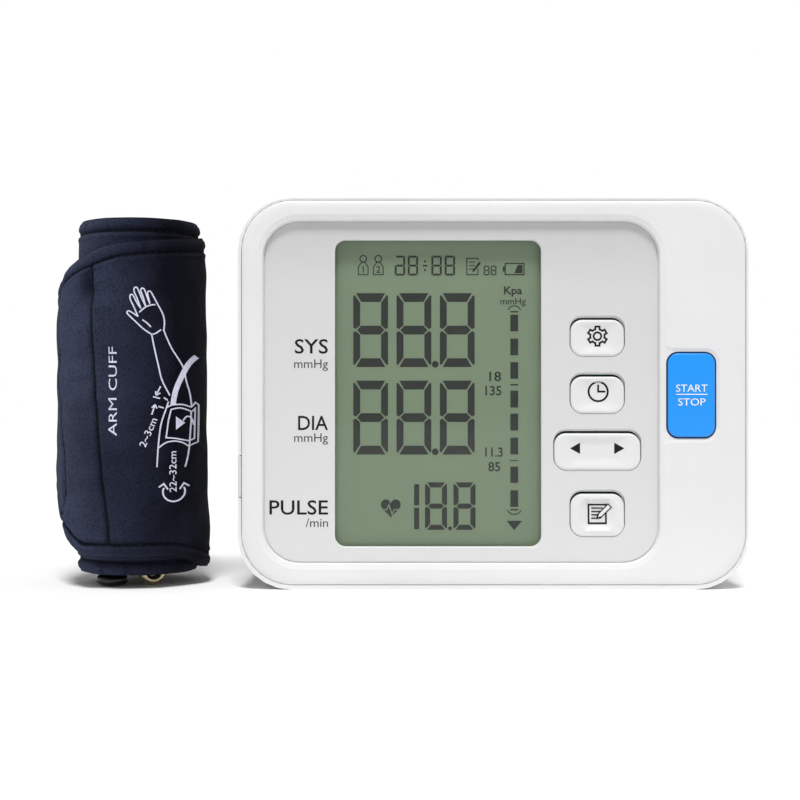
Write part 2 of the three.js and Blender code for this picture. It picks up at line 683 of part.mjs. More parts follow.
const CONTACTS = [
  { name: 'battery_contact_1', side: 1, springs: [0], domes: [] },
  { name: 'battery_contact_2', side: -1, springs: [1], domes: [0] },
  { name: 'battery_contact_3', side: 1, springs: [2], domes: [1] },
  { name: 'battery_contact_4', side: -1, springs: [3], domes: [2] },
  { name: 'battery_contact_5', side: 1, springs: [], domes: [3] },
];

// ---------------------------------------------------------------- rolled arm cuff

// Height of the cloth's lower and upper edge at a number of turns in from the free end.
// The free end's corners are cut back: the lower one is round and the upper one is a long shoulder.
function clothEdges(turn) {
  const corner = 1 - Math.min(turn / 0.17, 1);
  const shoulder = 1 - Math.min(turn / 0.26, 1);
  const endLow = 10.9 + 24 * corner ** 1.67;
  const endHigh = 109.4 + 15.2 * Math.min(turn, 0.5) - 12.4 * shoulder ** 1.6;
  const low = THREE.MathUtils.lerp(endLow, CUFF.low, THREE.MathUtils.smoothstep(turn, 0.33, 0.56));
  const high = THREE.MathUtils.lerp(endHigh, CUFF.high, THREE.MathUtils.smoothstep(turn, 0.46, 0.85));
  return [low, high];
}

// One layer of the roll, from turn to turn, lying depth below the roll's outside.
function rolledLayer({ depth, thickness, from, to, margin = 0 }) {
  const steps = Math.round((to - from) * CUFF.stepsPerTurn);
  const stations = Array.from({ length: steps + 1 }, (_, i) => {
    const turn = from + i / CUFF.stepsPerTurn;
    const angle = Math.PI + turn * 2 * Math.PI;
    const settled = THREE.MathUtils.smoothstep(turn, 0.5, 0.95);
    const shrink = (inner) => CUFF.pitch * turn + CUFF.hookLift * settled + depth + inner;
    const [low, high] = clothEdges(turn);
    const at = (inner, z) => [
      CUFF.x + CUFF.drift * settled + (CUFF.halfWidth - shrink(inner)) * Math.cos(angle),
      CUFF.y + (CUFF.halfDepth - shrink(inner)) * Math.sin(angle),
      z,
    ];
    const [base, top] = [low + margin, high - margin];
    return [at(0, base), at(0, top), at(thickness, top), at(thickness, base)];
  });
  return loft(stations);
}

// Stadium ring of round wire, standing on its end against the innermost turn.
const RING = { x: -113.5, y: -5.6, turn: THREE.MathUtils.degToRad(32), wire: 1.5, bend: 3.5, height: 112 };

function cuffRing() {
  const { wire, bend, height } = RING;
  const bendSteps = 8;
  const sides = 8;
  const stations = [[wire + bend, 180], [height - wire - bend, 0]].flatMap(([centreZ, start]) => (
    Array.from({ length: bendSteps + 1 }, (_, i) => (
      { centreZ, angle: THREE.MathUtils.degToRad(start + (180 * i) / bendSteps) }
    ))
  ));
  const section = Array.from({ length: sides }, (_, j) => {
    const angle = (j / sides) * 2 * Math.PI;
    return [wire * Math.cos(angle), wire * Math.sin(angle)];
  });
  const positions = stations.flatMap(({ centreZ, angle }) => section.flatMap(([side, depth]) => (
    [(bend + side) * Math.cos(angle), depth, centreZ + (bend + side) * Math.sin(angle)]
  )));
  const indices = [];
  for (let i = 0; i < stations.length; i += 1) {
    for (let j = 0; j < sides; j += 1) {
      const [a, b] = [i * sides + j, i * sides + ((j + 1) % sides)];
      const next = ((i + 1) % stations.length) * sides;
      const [c, d] = [next + j, next + ((j + 1) % sides)];
      indices.push(a, b, c, b, d, c);
    }
  }
  const geometry = new THREE.BufferGeometry();
  geometry.setAttribute('position', new THREE.BufferAttribute(new Float32Array(positions), 3));
  geometry.setIndex(indices);
  geometry.computeVertexNormals();
  return geometry.rotateZ(RING.turn).translate(RING.x, RING.y, 0);
}

// Moulded air elbow of the bladder: a rounded head under the roll and a stub up into its core.
const ELBOW = {
  x: -126.8,
  y: -6.5,
  profile: [[0, 0], [3.2, 0], [4.7, 0.9], [5.3, 2.2], [5.1, 3.6], [0, 3.6]],
  stub: { x: -124.5, y: -3.5, radius: 2.2, top: 18 },
};

function cuffElbow() {
  const { x, y, profile, stub } = ELBOW;
  const head = new THREE.LatheGeometry(profile.map(([radius, z]) => new THREE.Vector2(radius, z)), 20)
    .rotateX(Math.PI / 2)
    .translate(x, y, 0);
  return joined(head, rod('z', 3, stub.top, stub.radius, [stub.x, stub.y], 12));
}

// ---------------------------------------------------------------- assembly

const monitor = new THREE.Group();

monitor.add(named('front_cover', frontCover(), 'casing'));
monitor.add(named('rear_cover', rearCover(), 'casing'));
monitor.add(named('display_window', displayWindow(), 'lens'));
monitor.add(named('lcd_glass', slab(GLASS, GLASS_FRONT_Y, GLASS_BACK_Y, 2), 'display'));
monitor.add(named('lcd_holder', lcdHolder(), 'whitePlastic'));
monitor.add(named('zebra_strip', slab(ZEBRA, GLASS_BACK_Y + GAP, BOARD_FRONT_Y - GAP, 1), 'rubber'));

monitor.add(named('start_stop_button', pressKey(START, FRONT_Y, FRONT_Y + WALL, START_PROUD), 'blueKey'));
monitor.add(named('settings_button', smallKey(KEYS.settings), 'key'));
monitor.add(named('clock_button', smallKey(KEYS.clock), 'key'));
monitor.add(named('arrow_rocker', rockerKey(KEYS.arrows), 'key'));
monitor.add(named('memory_button', dishedKey(KEYS.memory), 'key'));

monitor.add(named('main_board', mainBoard(), 'board'));
for (const [name, [x, z]] of Object.entries(SWITCHES)) {
  const tact = named(name, tactSwitch(), 'blackPlastic');
  tact.position.set(x, BOARD_FRONT_Y, z);
  monitor.add(tact);
}
monitor.add(named('processor_chip', processorChip(), 'chip'));
monitor.add(named('pressure_sensor', pressureSensor(), 'whitePlastic'));
monitor.add(named('buzzer', buzzer(), 'blackPlastic'));
monitor.add(named('capacitor', capacitor(), 'chip'));

monitor.add(named('pump_motor', pumpMotor(), 'steel'));
monitor.add(named('pump_head', pumpHead(), 'blackPlastic'));
monitor.add(named('pump_crank', pumpCrank(), 'steel'));
monitor.add(named('valve_body', valveBody(), 'blackPlastic'));
monitor.add(named('valve_plunger', valvePlunger(), 'steel'));
monitor.add(named('air_manifold', airManifold(), 'whitePlastic'));
monitor.add(named('leak_valve', leakValve(), 'blackPlastic'));
for (const [name, { points, radius, steps }] of Object.entries(TUBES)) {
  monitor.add(named(name, hose(points, radius, steps), 'silicone'));
}
monitor.add(named('air_socket', airSocket(), 'whitePlastic'));
monitor.add(named('power_jack', powerJack(), 'blackPlastic'));

let screwNumber = 0;
for (const x of [-SCREW_X, SCREW_X]) {
  for (const z of SCREW_Z) {
    screwNumber += 1;
    const screw = named(`casing_screw_${screwNumber}`, casingScrew(), 'steel');
    screw.position.set(x, 0, z);
    monitor.add(screw);
  }
}

const back = new THREE.Group();
back.position.set(0, BACK_BASE_Y, 0);
back.rotation.x = -BACK_TILT;
back.add(named('battery_door', batteryDoor(), 'casing'));
FEET.forEach(([x, z], index) => {
  const foot = named(`rubber_foot_${index + 1}`, rubberFoot(), 'rubber');
  foot.position.set(x, 0, z);
  back.add(foot);
});
BATTERY_Z.forEach((z, index) => {
  const cell = named(`battery_${index + 1}`, battery(), 'battery');
  cell.position.set(BAY.x, BATTERY_Y, z);
  cell.rotation.y = index % 2 ? Math.PI : 0;
  back.add(cell);
});
for (const { name, side, springs, domes } of CONTACTS) {
  const heights = (cells) => cells.map((cell) => side * BATTERY_Z[cell]);
  const plateMesh = named(name, contact(heights(springs), heights(domes)), 'steel');
  plateMesh.position.set(BAY.x, BATTERY_Y, 0);
  plateMesh.rotation.y = side > 0 ? 0 : Math.PI;
  back.add(plateMesh);
}
monitor.add(back);

const cuff = new THREE.Group();
const whole = { from: 0, to: CUFF.turns, thickness: CUFF.cloth };
const bladderDepth = CUFF.cloth + CUFF.plyGap;
const layers = [
  { ...whole, name: 'cuff_outer_cloth', depth: 0, finish: 'cloth' },
  { ...whole, name: 'cuff_inner_cloth', depth: PLY - CUFF.cloth, finish: 'lining' },
  {
    name: 'cuff_bladder', finish: 'bladder', depth: bladderDepth, thickness: CUFF.bladder,
    from: 1, to: 3, margin: 6,
  },
  {
    name: 'cuff_hook_pad', finish: 'hook', depth: PLY + 0.25, thickness: 0.8,
    from: 0.05, to: 0.35, margin: 6,
  },
];
for (const { name, finish, ...layer } of layers) {
  cuff.add(named(name, rolledLayer(layer), finish));
}
cuff.add(named('cuff_ring', cuffRing(), 'brass'));
cuff.add(named('cuff_elbow', cuffElbow(), 'blackPlastic'));

const product = new THREE.Group();
product.add(monitor, cuff);

export default product;
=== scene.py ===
"""Looks of the upper arm blood pressure monitor and its rolled cuff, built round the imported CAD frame.
Lengths are in millimetres in the tables and functions below, and become metres when a mesh is made."""

import math

import bmesh
import bpy
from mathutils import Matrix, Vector, noise
from mathutils.bvhtree import BVHTree


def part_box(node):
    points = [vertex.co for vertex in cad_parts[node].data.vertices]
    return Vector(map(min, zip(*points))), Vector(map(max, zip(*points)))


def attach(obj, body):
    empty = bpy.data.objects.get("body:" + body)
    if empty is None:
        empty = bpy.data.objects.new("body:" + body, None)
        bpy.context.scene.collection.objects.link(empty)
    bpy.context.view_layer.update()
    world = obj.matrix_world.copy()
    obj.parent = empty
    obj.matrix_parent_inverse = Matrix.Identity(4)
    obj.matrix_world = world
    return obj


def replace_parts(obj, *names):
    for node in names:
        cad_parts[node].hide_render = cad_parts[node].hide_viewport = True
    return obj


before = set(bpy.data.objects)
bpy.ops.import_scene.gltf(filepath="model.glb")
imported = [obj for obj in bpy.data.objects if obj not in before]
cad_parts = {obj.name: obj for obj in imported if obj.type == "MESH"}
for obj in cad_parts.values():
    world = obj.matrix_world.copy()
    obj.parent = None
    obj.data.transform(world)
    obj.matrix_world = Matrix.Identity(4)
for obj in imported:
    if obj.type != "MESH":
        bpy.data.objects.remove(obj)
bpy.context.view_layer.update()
MM = 0.001


# ---------------------------------------------------------------- shapes in the plane of the front face


class Outline:
    """A rounded rectangle in X and Z."""

    def __init__(self, x, z, width, height, radius):
        self.x, self.z, self.width, self.height, self.radius = x, z, width, height, radius

    def grown(self, by):
        radius = max(self.radius + by, 0.05)
        return Outline(self.x, self.z, self.width + 2 * by, self.height + 2 * by, radius)

    def ring(self, steps=10):
        """Points anticlockwise as seen from the front."""
        points = []
        for side_x, side_z, start in ((1, -1, -90), (1, 1, 0), (-1, 1, 90), (-1, -1, 180)):
            centre_x = self.x + side_x * (self.width / 2 - self.radius)
            centre_z = self.z + side_z * (self.height / 2 - self.radius)
            for step in range(steps + 1):
                a = math.radians(start + 90 * step / steps)
                points.append((centre_x + self.radius * math.cos(a), centre_z + self.radius * math.sin(a)))
        return points


def box_mm(node):
    low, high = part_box(node)
    return low / MM, high / MM


def smooth(value, start, end):
    t = min(max((value - start) / (end - start), 0), 1)
    return t * t * (3 - 2 * t)


# ---------------------------------------------------------------- meshes


def shade(obj, sharp=35):
    for polygon in obj.data.polygons:
        polygon.use_smooth = True
    obj.data.set_sharp_from_angle(angle=math.radians(sharp))
    weighted = obj.modifiers.new("even shading", "WEIGHTED_NORMAL")
    weighted.keep_sharp = True


def placed(name, data):
    obj = bpy.data.objects.new(name, data)
    bpy.context.scene.collection.objects.link(obj)
    return obj


def bare(name, points, faces):
    mesh = bpy.data.meshes.new(name)
    mesh.from_pydata([Vector(p) * MM for p in points], [], faces)
    mesh.validate()
    return placed(name, mesh)


def add_uv(obj, name, place):
    """A UV map in metres; place(vertex) gives the two values for the vertex of that number."""
    uv = obj.data.uv_layers.new(name=name)
    for loop in obj.data.loops:
        uv.data[loop.index].uv = place(loop.vertex_index)


def dress(obj, material, body, sharp=35):
    obj.data.materials.clear()
    obj.data.materials.append(material)
    shade(obj, sharp)
    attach(obj, body)
    return obj


def piece(name, points, faces, material, body, sharp=35):
    return dress(bare(name, points, faces), material, body, sharp)


def loft(rings, closed=True):
    """Points and faces of a body through rings of equal length, the first ring facing the viewer."""
    count = len(rings[0])
    points = [p for ring in rings for p in ring]
    faces = []
    for i in range(len(rings) - 1):
        for j in range(count):
            k = (j + 1) % count
            faces.append((i * count + j, (i + 1) * count + j, (i + 1) * count + k, i * count + k))
    if closed:
        faces.append(tuple(range(count)))
        faces.append(tuple(reversed(range((len(rings) - 1) * count, len(rings) * count))))
    return points, faces


def layered(layers, steps=10):
    """Loft of (outline, y) layers, from the front to the back."""
    return loft([[(x, y, z) for x, z in outline.ring(steps)] for outline, y in layers])


def carve(target, cutters, operation="DIFFERENCE"):
    for cutter in cutters:
        modifier = target.modifiers.new("cut", "BOOLEAN")
        modifier.operation = operation
        modifier.solver = "EXACT"
        modifier.object = cutter
    graph = bpy.context.evaluated_depsgraph_get()
    result = bpy.data.meshes.new_from_object(target.evaluated_get(graph))
    target.modifiers.clear()
    target.data = result
    for cutter in cutters:
        bpy.data.objects.remove(cutter)
    return target


# ---------------------------------------------------------------- materials


class Nodes:
    """A node tree under construction."""

    def __init__(self, tree):
        self.tree = tree

    def feed(self, target, value):
        """Links a socket to an input, or sets the input to a plain value."""
        if isinstance(value, bpy.types.NodeSocket):
            self.tree.links.new(value, target)
        else:
            target.default_value = value

    def node(self, kind, inputs=None, **settings):
        made = self.tree.nodes.new(kind)
        for key, value in settings.items():
            setattr(made, key, value)
        for key, value in (inputs or {}).items():
            self.feed(made.inputs[key], value)
        return made

    def math(self, operation, *values):
        return self.node("ShaderNodeMath", dict(enumerate(values)), operation=operation).outputs[0]

    def axis(self, letter, vector):
        return self.node("ShaderNodeSeparateXYZ", {"Vector": vector}).outputs[letter]

    def between(self, value, low, high):
        """Turns 0 to 1 into low to high."""
        return self.node("ShaderNodeMapRange", {"Value": value, "To Min": low, "To Max": high}).outputs["Result"]


class Recipe(Nodes):
    """A node material under construction; every value is procedural."""

    def __init__(self, name, slot):
        self.material = bpy.data.materials.new(name)
        self.material.use_nodes = True
        self.material["slot"] = slot
        super().__init__(self.material.node_tree)
        self.bsdf = self.tree.nodes["Principled BSDF"]
        self.place = self.node("ShaderNodeTexCoord").outputs["Object"]

    def put(self, name, value):
        self.feed(self.bsdf.inputs[name], value)

    def noise(self, scale, detail=3, stretch=None):
        place = self.place
        if stretch:
            place = self.node("ShaderNodeMapping", {"Vector": place, "Scale": stretch}).outputs["Vector"]
        return self.node("ShaderNodeTexNoise", {"Vector": place, "Scale": scale, "Detail": detail}).outputs["Fac"]

    def blend(self, factor, first, second, low=0.0, high=1.0):
        """Turns from the first colour at low into the second at high."""
        share = self.node("ShaderNodeMapRange", {"Value": factor, "From Min": low, "From Max": high})
        mix = {"Factor": share.outputs["Result"], 6: first, 7: second}
        return self.node("ShaderNodeMix", mix, data_type="RGBA").outputs[2]

    def rough(self, factor, low, high):
        self.put("Roughness", self.between(factor, low, high))

    def bump(self, height, distance, strength=1.0):
        made = self.node("ShaderNodeBump", {"Height": height, "Distance": distance, "Strength": strength})
        normal = self.bsdf.inputs["Normal"]
        if normal.is_linked:
            self.feed(made.inputs["Normal"], normal.links[0].from_socket)
        self.put("Normal", made.outputs["Normal"])


def colour(red, green, blue):
    """Linear colour from a display colour of 0 to 255."""
    channel = lambda v: v / 255 / 12.92 if v <= 10 else ((v / 255 + 0.055) / 1.055) ** 2.4
    return (channel(red), channel(green), channel(blue), 1)


def scaled(tint, share):
    return tuple(c * share for c in tint[:3]) + (1,)


def moulded(name, slot, tint, roughness=0.42, grain=0.00002, tone=0.03, grain_scale=3500):
    """Moulded plastic with a fine spark-eroded grain, faint clouding and slight polish marks."""
    r = Recipe(name, slot)
    r.put("Base Color", r.blend(r.noise(38, 4), scaled(tint, 1 - tone), tint, 0.35, 0.65))
    r.rough(r.noise(160, 4), roughness - 0.05, roughness + 0.07)
    r.bump(r.noise(grain_scale, 2), grain)
    return r.material


def metal(name, slot, tint, roughness=0.25):
    """Drawn metal with brushed lines along its height and dull spots."""
    r = Recipe(name, slot)
    r.put("Base Color", r.blend(r.noise(300, 5), scaled(tint, 0.72), tint, 0.3, 0.7))
    r.put("Metallic", 1.0)
    r.rough(r.noise(90, 5), roughness - 0.08, roughness + 0.12)
    r.bump(r.noise(9, 2, (40, 40, 900)), 0.00002, 0.5)
    return r.material


def rubber(name, slot, tint, roughness=0.55):
    """Dull rubber with a soft bloom and fine pitting."""
    r = Recipe(name, slot)
    r.put("Base Color", r.blend(r.noise(240, 5), scaled(tint, 0.75), tint, 0.3, 0.7))
    r.rough(r.noise(400, 4), roughness - 0.1, roughness + 0.1)
    r.bump(r.noise(2600, 3), 0.00003)
    return r.material


def clear(name, slot):
    """Polished clear acrylic: lets light straight through, with a slight reflection at glancing angles."""
    r = Recipe(name, slot)
    see = r.node("ShaderNodeBsdfTransparent", {"Color": (0.985, 0.99, 0.985, 1)})
    ripple = r.node("ShaderNodeBump", {"Distance": 0.00002, "Height": r.noise(45, 2)})
    gloss = r.node("ShaderNodeBsdfGlossy", {"Roughness": r.between(r.noise(60, 5), 0.02, 0.07),
                                            "Normal": ripple.outputs["Normal"]})
    facing = r.node("ShaderNodeLayerWeight").outputs["Facing"]
    share = r.math("MULTIPLY_ADD", r.math("POWER", facing, 5.0), 0.3, 0.008)
    mix = r.node("ShaderNodeMixShader", {"Fac": share, 1: see.outputs["BSDF"], 2: gloss.outputs["BSDF"]})
    r.feed(r.tree.nodes["Material Output"].inputs["Surface"], mix.outputs["Shader"])
    return r.material


def screen(name, slot):
    """Reflective liquid crystal backing: a grey-green with faint painted light that makes it lighter towards the top,
    and a fine grain.
    """
    r = Recipe(name, slot)
    # painted light: lighter towards the top
    base = r.blend(r.axis("Z", r.place), colour(118, 134, 109), colour(124, 140, 116), 0.02, 0.11)
    r.put("Base Color", r.blend(r.noise(2200, 2), base, colour(122, 138, 114), 0.2, 1.6))
    r.rough(r.noise(300, 3), 0.42, 0.55)
    r.bump(r.noise(5200, 2), 0.00001, 0.4)
    return r.material


def ink(name, slot, tint, roughness=0.5):
    """Printed ink, a little uneven in density."""
    r = Recipe(name, slot)
    r.put("Base Color", r.blend(r.noise(900, 4), scaled(tint, 0.82), tint, 0.3, 0.6))
    r.rough(r.noise(700, 3), roughness - 0.05, roughness + 0.08)
    r.put("Specular IOR Level", 0.25)
    r.bump(r.noise(4200, 2), 0.00001)
    return r.material


def woven(name, slot, light, dark, pitch=0.00085, relief=0.00016, painted_light_span=None):
    """Twill cloth on a UV map in metres. The attribute "seam" paints shade into its seams; the last argument, when
    given, is the (left, right) pair of X in metres between which painted light, pale on the left, turns into painted
    shade in the full dark colour on the right."""
    r = Recipe(name, slot)
    flat = r.node("ShaderNodeTexCoord").outputs["UV"]
    along, up = r.axis("X", flat), r.axis("Y", flat)
    drift = r.math("MULTIPLY", r.noise(420, 2), pitch * 0.6)
    rib = r.math("ADD", r.math("SUBTRACT", along, up), drift)
    rib = r.math("SINE", r.math("MULTIPLY", rib, 2 * math.pi / pitch))
    thread = r.math("SINE", r.math("MULTIPLY", r.math("ADD", along, up), 2 * math.pi / (pitch * 0.7)))
    height = r.math("MULTIPLY_ADD", thread, 0.35, rib)
    height = r.math("MULTIPLY_ADD", height, 0.37, 0.5)
    wear_and_painted_light = r.noise(26, 5)
    # painted light: paler towards the left of X, turning into painted shade towards the right
    if painted_light_span:
        pale = r.math("DIVIDE", r.math("SUBTRACT", painted_light_span[1], r.axis("X", r.place)), painted_light_span[1] - painted_light_span[0])
        pale = r.math("MAXIMUM", r.math("MINIMUM", pale, 1.0), 0.0)
        wear_and_painted_light = r.math("MULTIPLY_ADD", r.math("SUBTRACT", wear_and_painted_light, 0.5), 0.6, r.math("MULTIPLY_ADD", pale, 0.6, 0.2))
    tint = r.blend(wear_and_painted_light, dark, light, 0.3, 0.75)
    deep = scaled(dark, 0.3)
    tint = r.blend(r.noise(1500, 3), deep, tint, 0.05, 0.55)
    tint = r.blend(height, deep, tint, -0.7, 0.75)
    # painted shade in the seams and the dent, from the attribute "seam"
    seam = r.node("ShaderNodeAttribute", attribute_name="seam").outputs["Fac"]
    r.put("Base Color", r.blend(seam, tint, scaled(dark, 0.12)))
    r.rough(r.noise(200, 3), 0.82, 0.97)
    r.put("Sheen Weight", 0.03)
    r.put("Specular IOR Level", 0.07)
    r.bump(r.noise(90, 4), 0.0005, 0.6)
    r.bump(height, relief)
    return r.material


def hooked(name, slot, tint):
    """Hook tape: rows of fine stiff hooks on a woven ground."""
    r = Recipe(name, slot)
    flat = r.node("ShaderNodeTexCoord").outputs["UV"]
    hooks = r.node("ShaderNodeTexVoronoi", {"Vector": flat, "Scale": 850}).outputs["Distance"]
    r.put("Base Color", r.blend(hooks, scaled(tint, 2.2), tint, 0.1, 0.6))
    r.rough(r.noise(300, 3), 0.5, 0.7)
    r.bump(hooks, 0.0006)
    return r.material


def circuit(name, slot):
    """Solder mask over copper tracks."""
    r = Recipe(name, slot)
    bricks = r.node("ShaderNodeTexBrick", {
        "Vector": r.place, "Scale": 210, "Mortar Size": 0.08, "Color1": colour(18, 92, 52),
        "Color2": colour(22, 104, 60), "Mortar": colour(64, 140, 92)})
    r.put("Base Color", bricks.outputs["Color"])
    r.rough(r.noise(500, 3), 0.25, 0.4)
    r.bump(bricks.outputs["Fac"], 0.00005)
    return r.material


def cell_skin(name, slot):
    """Battery sleeve: dark wrap with a copper-coloured end band, lightly scuffed."""
    r = Recipe(name, slot)
    band = r.math("GREATER_THAN", r.axis("X", r.place), 0.026)
    r.put("Base Color", r.blend(band, colour(38, 40, 44), colour(176, 112, 60)))
    r.put("Metallic", 0.35)
    r.rough(r.noise(240, 5), 0.22, 0.45)
    r.bump(r.noise(700, 4), 0.00003)
    return r.material


def panel_painted_shade(name, slot):
    """The recess floor: the casing's plastic in a darker tone than the frame, with painted shade that is darkest in a
    band along its top edge, under the recess's upper wall, and lightens towards the base.
    """
    r = Recipe(name, slot)
    height = r.axis("Z", r.place)
    # painted shade: darker higher up, darkest in a band along the top where the recess's upper wall shades the floor
    low = r.blend(height, colour(219, 219, 219), colour(212, 212, 212), 0.01, 0.09)
    tint = r.blend(height, low, colour(195, 195, 195), 0.098, 0.122)
    r.put("Base Color", r.blend(r.noise(38, 4), tint, colour(212, 212, 212), 0.35, 4.0))
    r.rough(r.noise(160, 4), 0.42, 0.52)
    r.bump(r.noise(3500, 2), 0.000015)
    return r.material


PANEL_PAINTED_SHADE = panel_painted_shade("panel with painted shade", "casing_white")
WHITE = moulded("casing white", "casing_white", colour(230, 230, 230), 0.45, 0.000015)
KEY_WHITE = moulded("key white", "key_white", colour(226, 226, 227), 0.4, 0.00001)
KEY_BLUE = moulded("key blue", "key_blue", colour(20, 152, 250), 0.3, 0.000008)
# the key's blue darkened to navy: painted shade for the gap round the start key
KEY_BLUE_PAINTED_SHADE = moulded("key edge navy", "key_blue", colour(24, 52, 110), 0.4, 0.000008)
WINDOW_CLEAR = clear("window clear", "window_clear")
SCREEN = screen("lcd backing", "lcd_glass")
SEGMENT = ink("lcd segment", "lcd_glass", colour(54, 56, 54), 0.55)
PRINT_BLACK = ink("print black", "casing_white", colour(18, 18, 20))
PRINT_GREY = ink("print grey", "casing_white", colour(66, 66, 70))
PRINT_WHITE = ink("print white", "key_blue", colour(250, 250, 250))
CUFF_PRINT = ink("cuff print", "cuff_cloth", colour(214, 216, 236), 0.8)
HOLDER = moulded("holder white", "holder_white", colour(214, 214, 210), 0.5)
CONNECTOR = rubber("black rubber", "connector_rubber", colour(42, 42, 45))
BOARD = circuit("circuit board", "board_green")
BLACK = moulded("black plastic", "black_plastic", colour(30, 30, 32), 0.35, 0.00002, 0.2)
GLOSS_BLACK = moulded("gloss black", "black_plastic", colour(16, 16, 18), 0.16, 0.000004, 0.2, 1200)
STEEL = metal("steel", "steel", colour(196, 198, 202))
SILICONE = rubber("silicone tube", "silicone", colour(206, 204, 198), 0.4)
BATTERY_SKIN = cell_skin("battery sleeve", "battery_shell")
PAINTED_LIGHT_X = (-0.146, -0.098)          # X in metres between which the cuff's painted light on its left side turns into painted shade on its right
# the cuff's cloth and binding carry painted light on their left and painted shade on their right
CLOTH = woven("cuff cloth", "cuff_cloth", colour(64, 71, 97), colour(10, 13, 25), painted_light_span=PAINTED_LIGHT_X)
BINDING = woven("cuff binding", "cuff_cloth", colour(50, 56, 80), colour(10, 13, 25), 0.0007, 0.00012, PAINTED_LIGHT_X)
LINING = woven("cuff lining", "cuff_lining", colour(36, 40, 56), colour(24, 27, 40), 0.0006, 0.0002)
THREAD = woven("thread", "cuff_cloth", colour(30, 35, 52), colour(16, 20, 34), 0.0004, 0.00008)
BLADDER = rubber("bladder", "cuff_bladder", colour(52, 54, 60))
HOOK = hooked("hook tape", "cuff_hook", colour(24, 26, 34))
RING_METAL = metal("ring metal", "ring_metal", colour(204, 190, 156), 0.22)

# what each slot of the CAD nodes is made of
NODE_MATERIALS = {material["slot"]: material for material in (
    WHITE, KEY_WHITE, KEY_BLUE, WINDOW_CLEAR, SCREEN, HOLDER, CONNECTOR, BOARD, BLACK, STEEL, SILICONE, BATTERY_SKIN,
    CLOTH, LINING, BLADDER, HOOK, RING_METAL)}


# ---------------------------------------------------------------- casing

FRONT_LOW, FRONT_HIGH = box_mm("front_cover")
FRONT_Y = FRONT_LOW.y              # the face of the frame
PANEL_Y = FRONT_Y + 2.2            # floor of the recess
PANEL_BACK_Y = PANEL_Y + 2.2
PARTING_Y = FRONT_Y + 5.0
FRONT = Outline((FRONT_LOW.x + FRONT_HIGH.x) / 2, (FRONT_LOW.z + FRONT_HIGH.z) / 2,
                FRONT_HIGH.x - FRONT_LOW.x, FRONT_HIGH.z - FRONT_LOW.z, 16.5)
RECESS = Outline(FRONT.x - 10.55, FRONT.z + 0.15, FRONT.width - 35.6, FRONT.height - 13.7, 11.5)
WINDOW = Outline(FRONT.x - 18.1, FRONT.z - 0.3, 67.7, 100.6, 3.5)
POCKET_DEPTH = 1.7
POCKET_RADIUS = 4.2

# width and height of each small key's pocket
POCKETS = {"settings_button": (18.2, 13.3), "clock_button": (18.2, 13.4),
           "arrow_rocker": (28.9, 13.4), "memory_button": (18.2, 15.2)}
KEY_SIDE_GAP, KEY_TOP_GAP, KEY_BASE_GAP = 0.6, 1.3, 0.4
KEY_DROP = (KEY_TOP_GAP - KEY_BASE_GAP) / 2        # from the pocket's centre down to the cap's


def pocket_of(node):
    low, high = box_mm(node)
    return Outline((low.x + high.x) / 2, (low.z + high.z) / 2 + KEY_DROP, *POCKETS[node], POCKET_RADIUS)


def cap_of(node):
    o = pocket_of(node)
    return Outline(o.x, o.z - KEY_DROP, o.width - 2 * KEY_SIDE_GAP, o.height - KEY_TOP_GAP - KEY_BASE_GAP, 3.6)


START_LOW, START_HIGH = box_mm("start_stop_button")
START = Outline((START_LOW.x + START_HIGH.x) / 2, (START_LOW.z + START_HIGH.z) / 2, 15.8, 27.8, 3.6)


def rounded_front(outline, front, radius, back, steps=8, depth=None):
    """Layers of a plate whose front edge is rounded, or crowned if the rounding's depth is given."""
    layers = []
    for step in range(steps + 1):
        a = math.radians(90 * step / steps)
        layers.append((outline.grown(-radius * (1 - math.sin(a))), front + (depth or radius) * (1 - math.cos(a))))
    return layers + [(outline, back)]


def flared(outline, surface, floor, radius=0.3, fillet=0.25, steps=4):
    """Layers of a hollow whose rim is rounded over by radius where it meets the surface."""
    layers = [(outline.grown(radius), surface - 0.02)]
    for step in range(steps + 1):
        a = math.radians(90 - 90 * step / steps)
        layers.append((outline.grown(radius * (1 - math.cos(a))), surface + radius * (1 - math.sin(a))))
    layers.append((outline, floor - fillet))
    layers.append((outline.grown(-fillet * 0.3), floor - fillet * 0.3))
    layers.append((outline.grown(-fillet), floor))
    return layers


def cutter(name, layers, steps=10):
    return bare(name, *layered(layers, steps))


RIM_DROP = 0.42                    # the rim of the recess lies this far below the frame's face
RIM_OUT = 1.0                      # from the recess floor's edge to where the frame's bevel starts
BEVEL = 1.1                        # width of the shallow bevel between the rim and the frame's face


# (distance out from the rim, Y) of the shallow bevel round the recess and the start key's band
BEVEL_PROFILE = [(BEVEL + 0.25, FRONT_Y - 0.03), (BEVEL, FRONT_Y + 0.02), (0.0, FRONT_Y + RIM_DROP)]


def recess_layers():
    """The recess: a shallow bevel, a narrow rim, a small rounding, a steep wall and a fine groove round its floor."""
    rim = FRONT_Y + RIM_DROP
    profile = [(RIM_OUT + BEVEL + 0.25, FRONT_Y - 0.03), (RIM_OUT + BEVEL, FRONT_Y + 0.02),
               (RIM_OUT, rim), (0.72, rim + 0.02), (0.58, rim + 0.08), (0.5, rim + 0.2), (0.15, PANEL_Y - 0.3),
               (0.12, PANEL_Y + 0.45), (-0.2, PANEL_Y + 0.45), (-0.22, PANEL_Y)]
    return [(RECESS.grown(out), y) for out, y in profile]


def start_band():
    """The lowered band round the start key, level with the rim of the recess and bevelled like it."""
    rim = FRONT_Y + RIM_DROP
    around = START.grown(0.4)
    around = Outline(around.x - 1, around.z, around.width + 2, around.height, around.radius)
    profile = BEVEL_PROFILE + [(-0.05, rim + 0.001)]
    return around, [(around.grown(out), y) for out, y in profile]


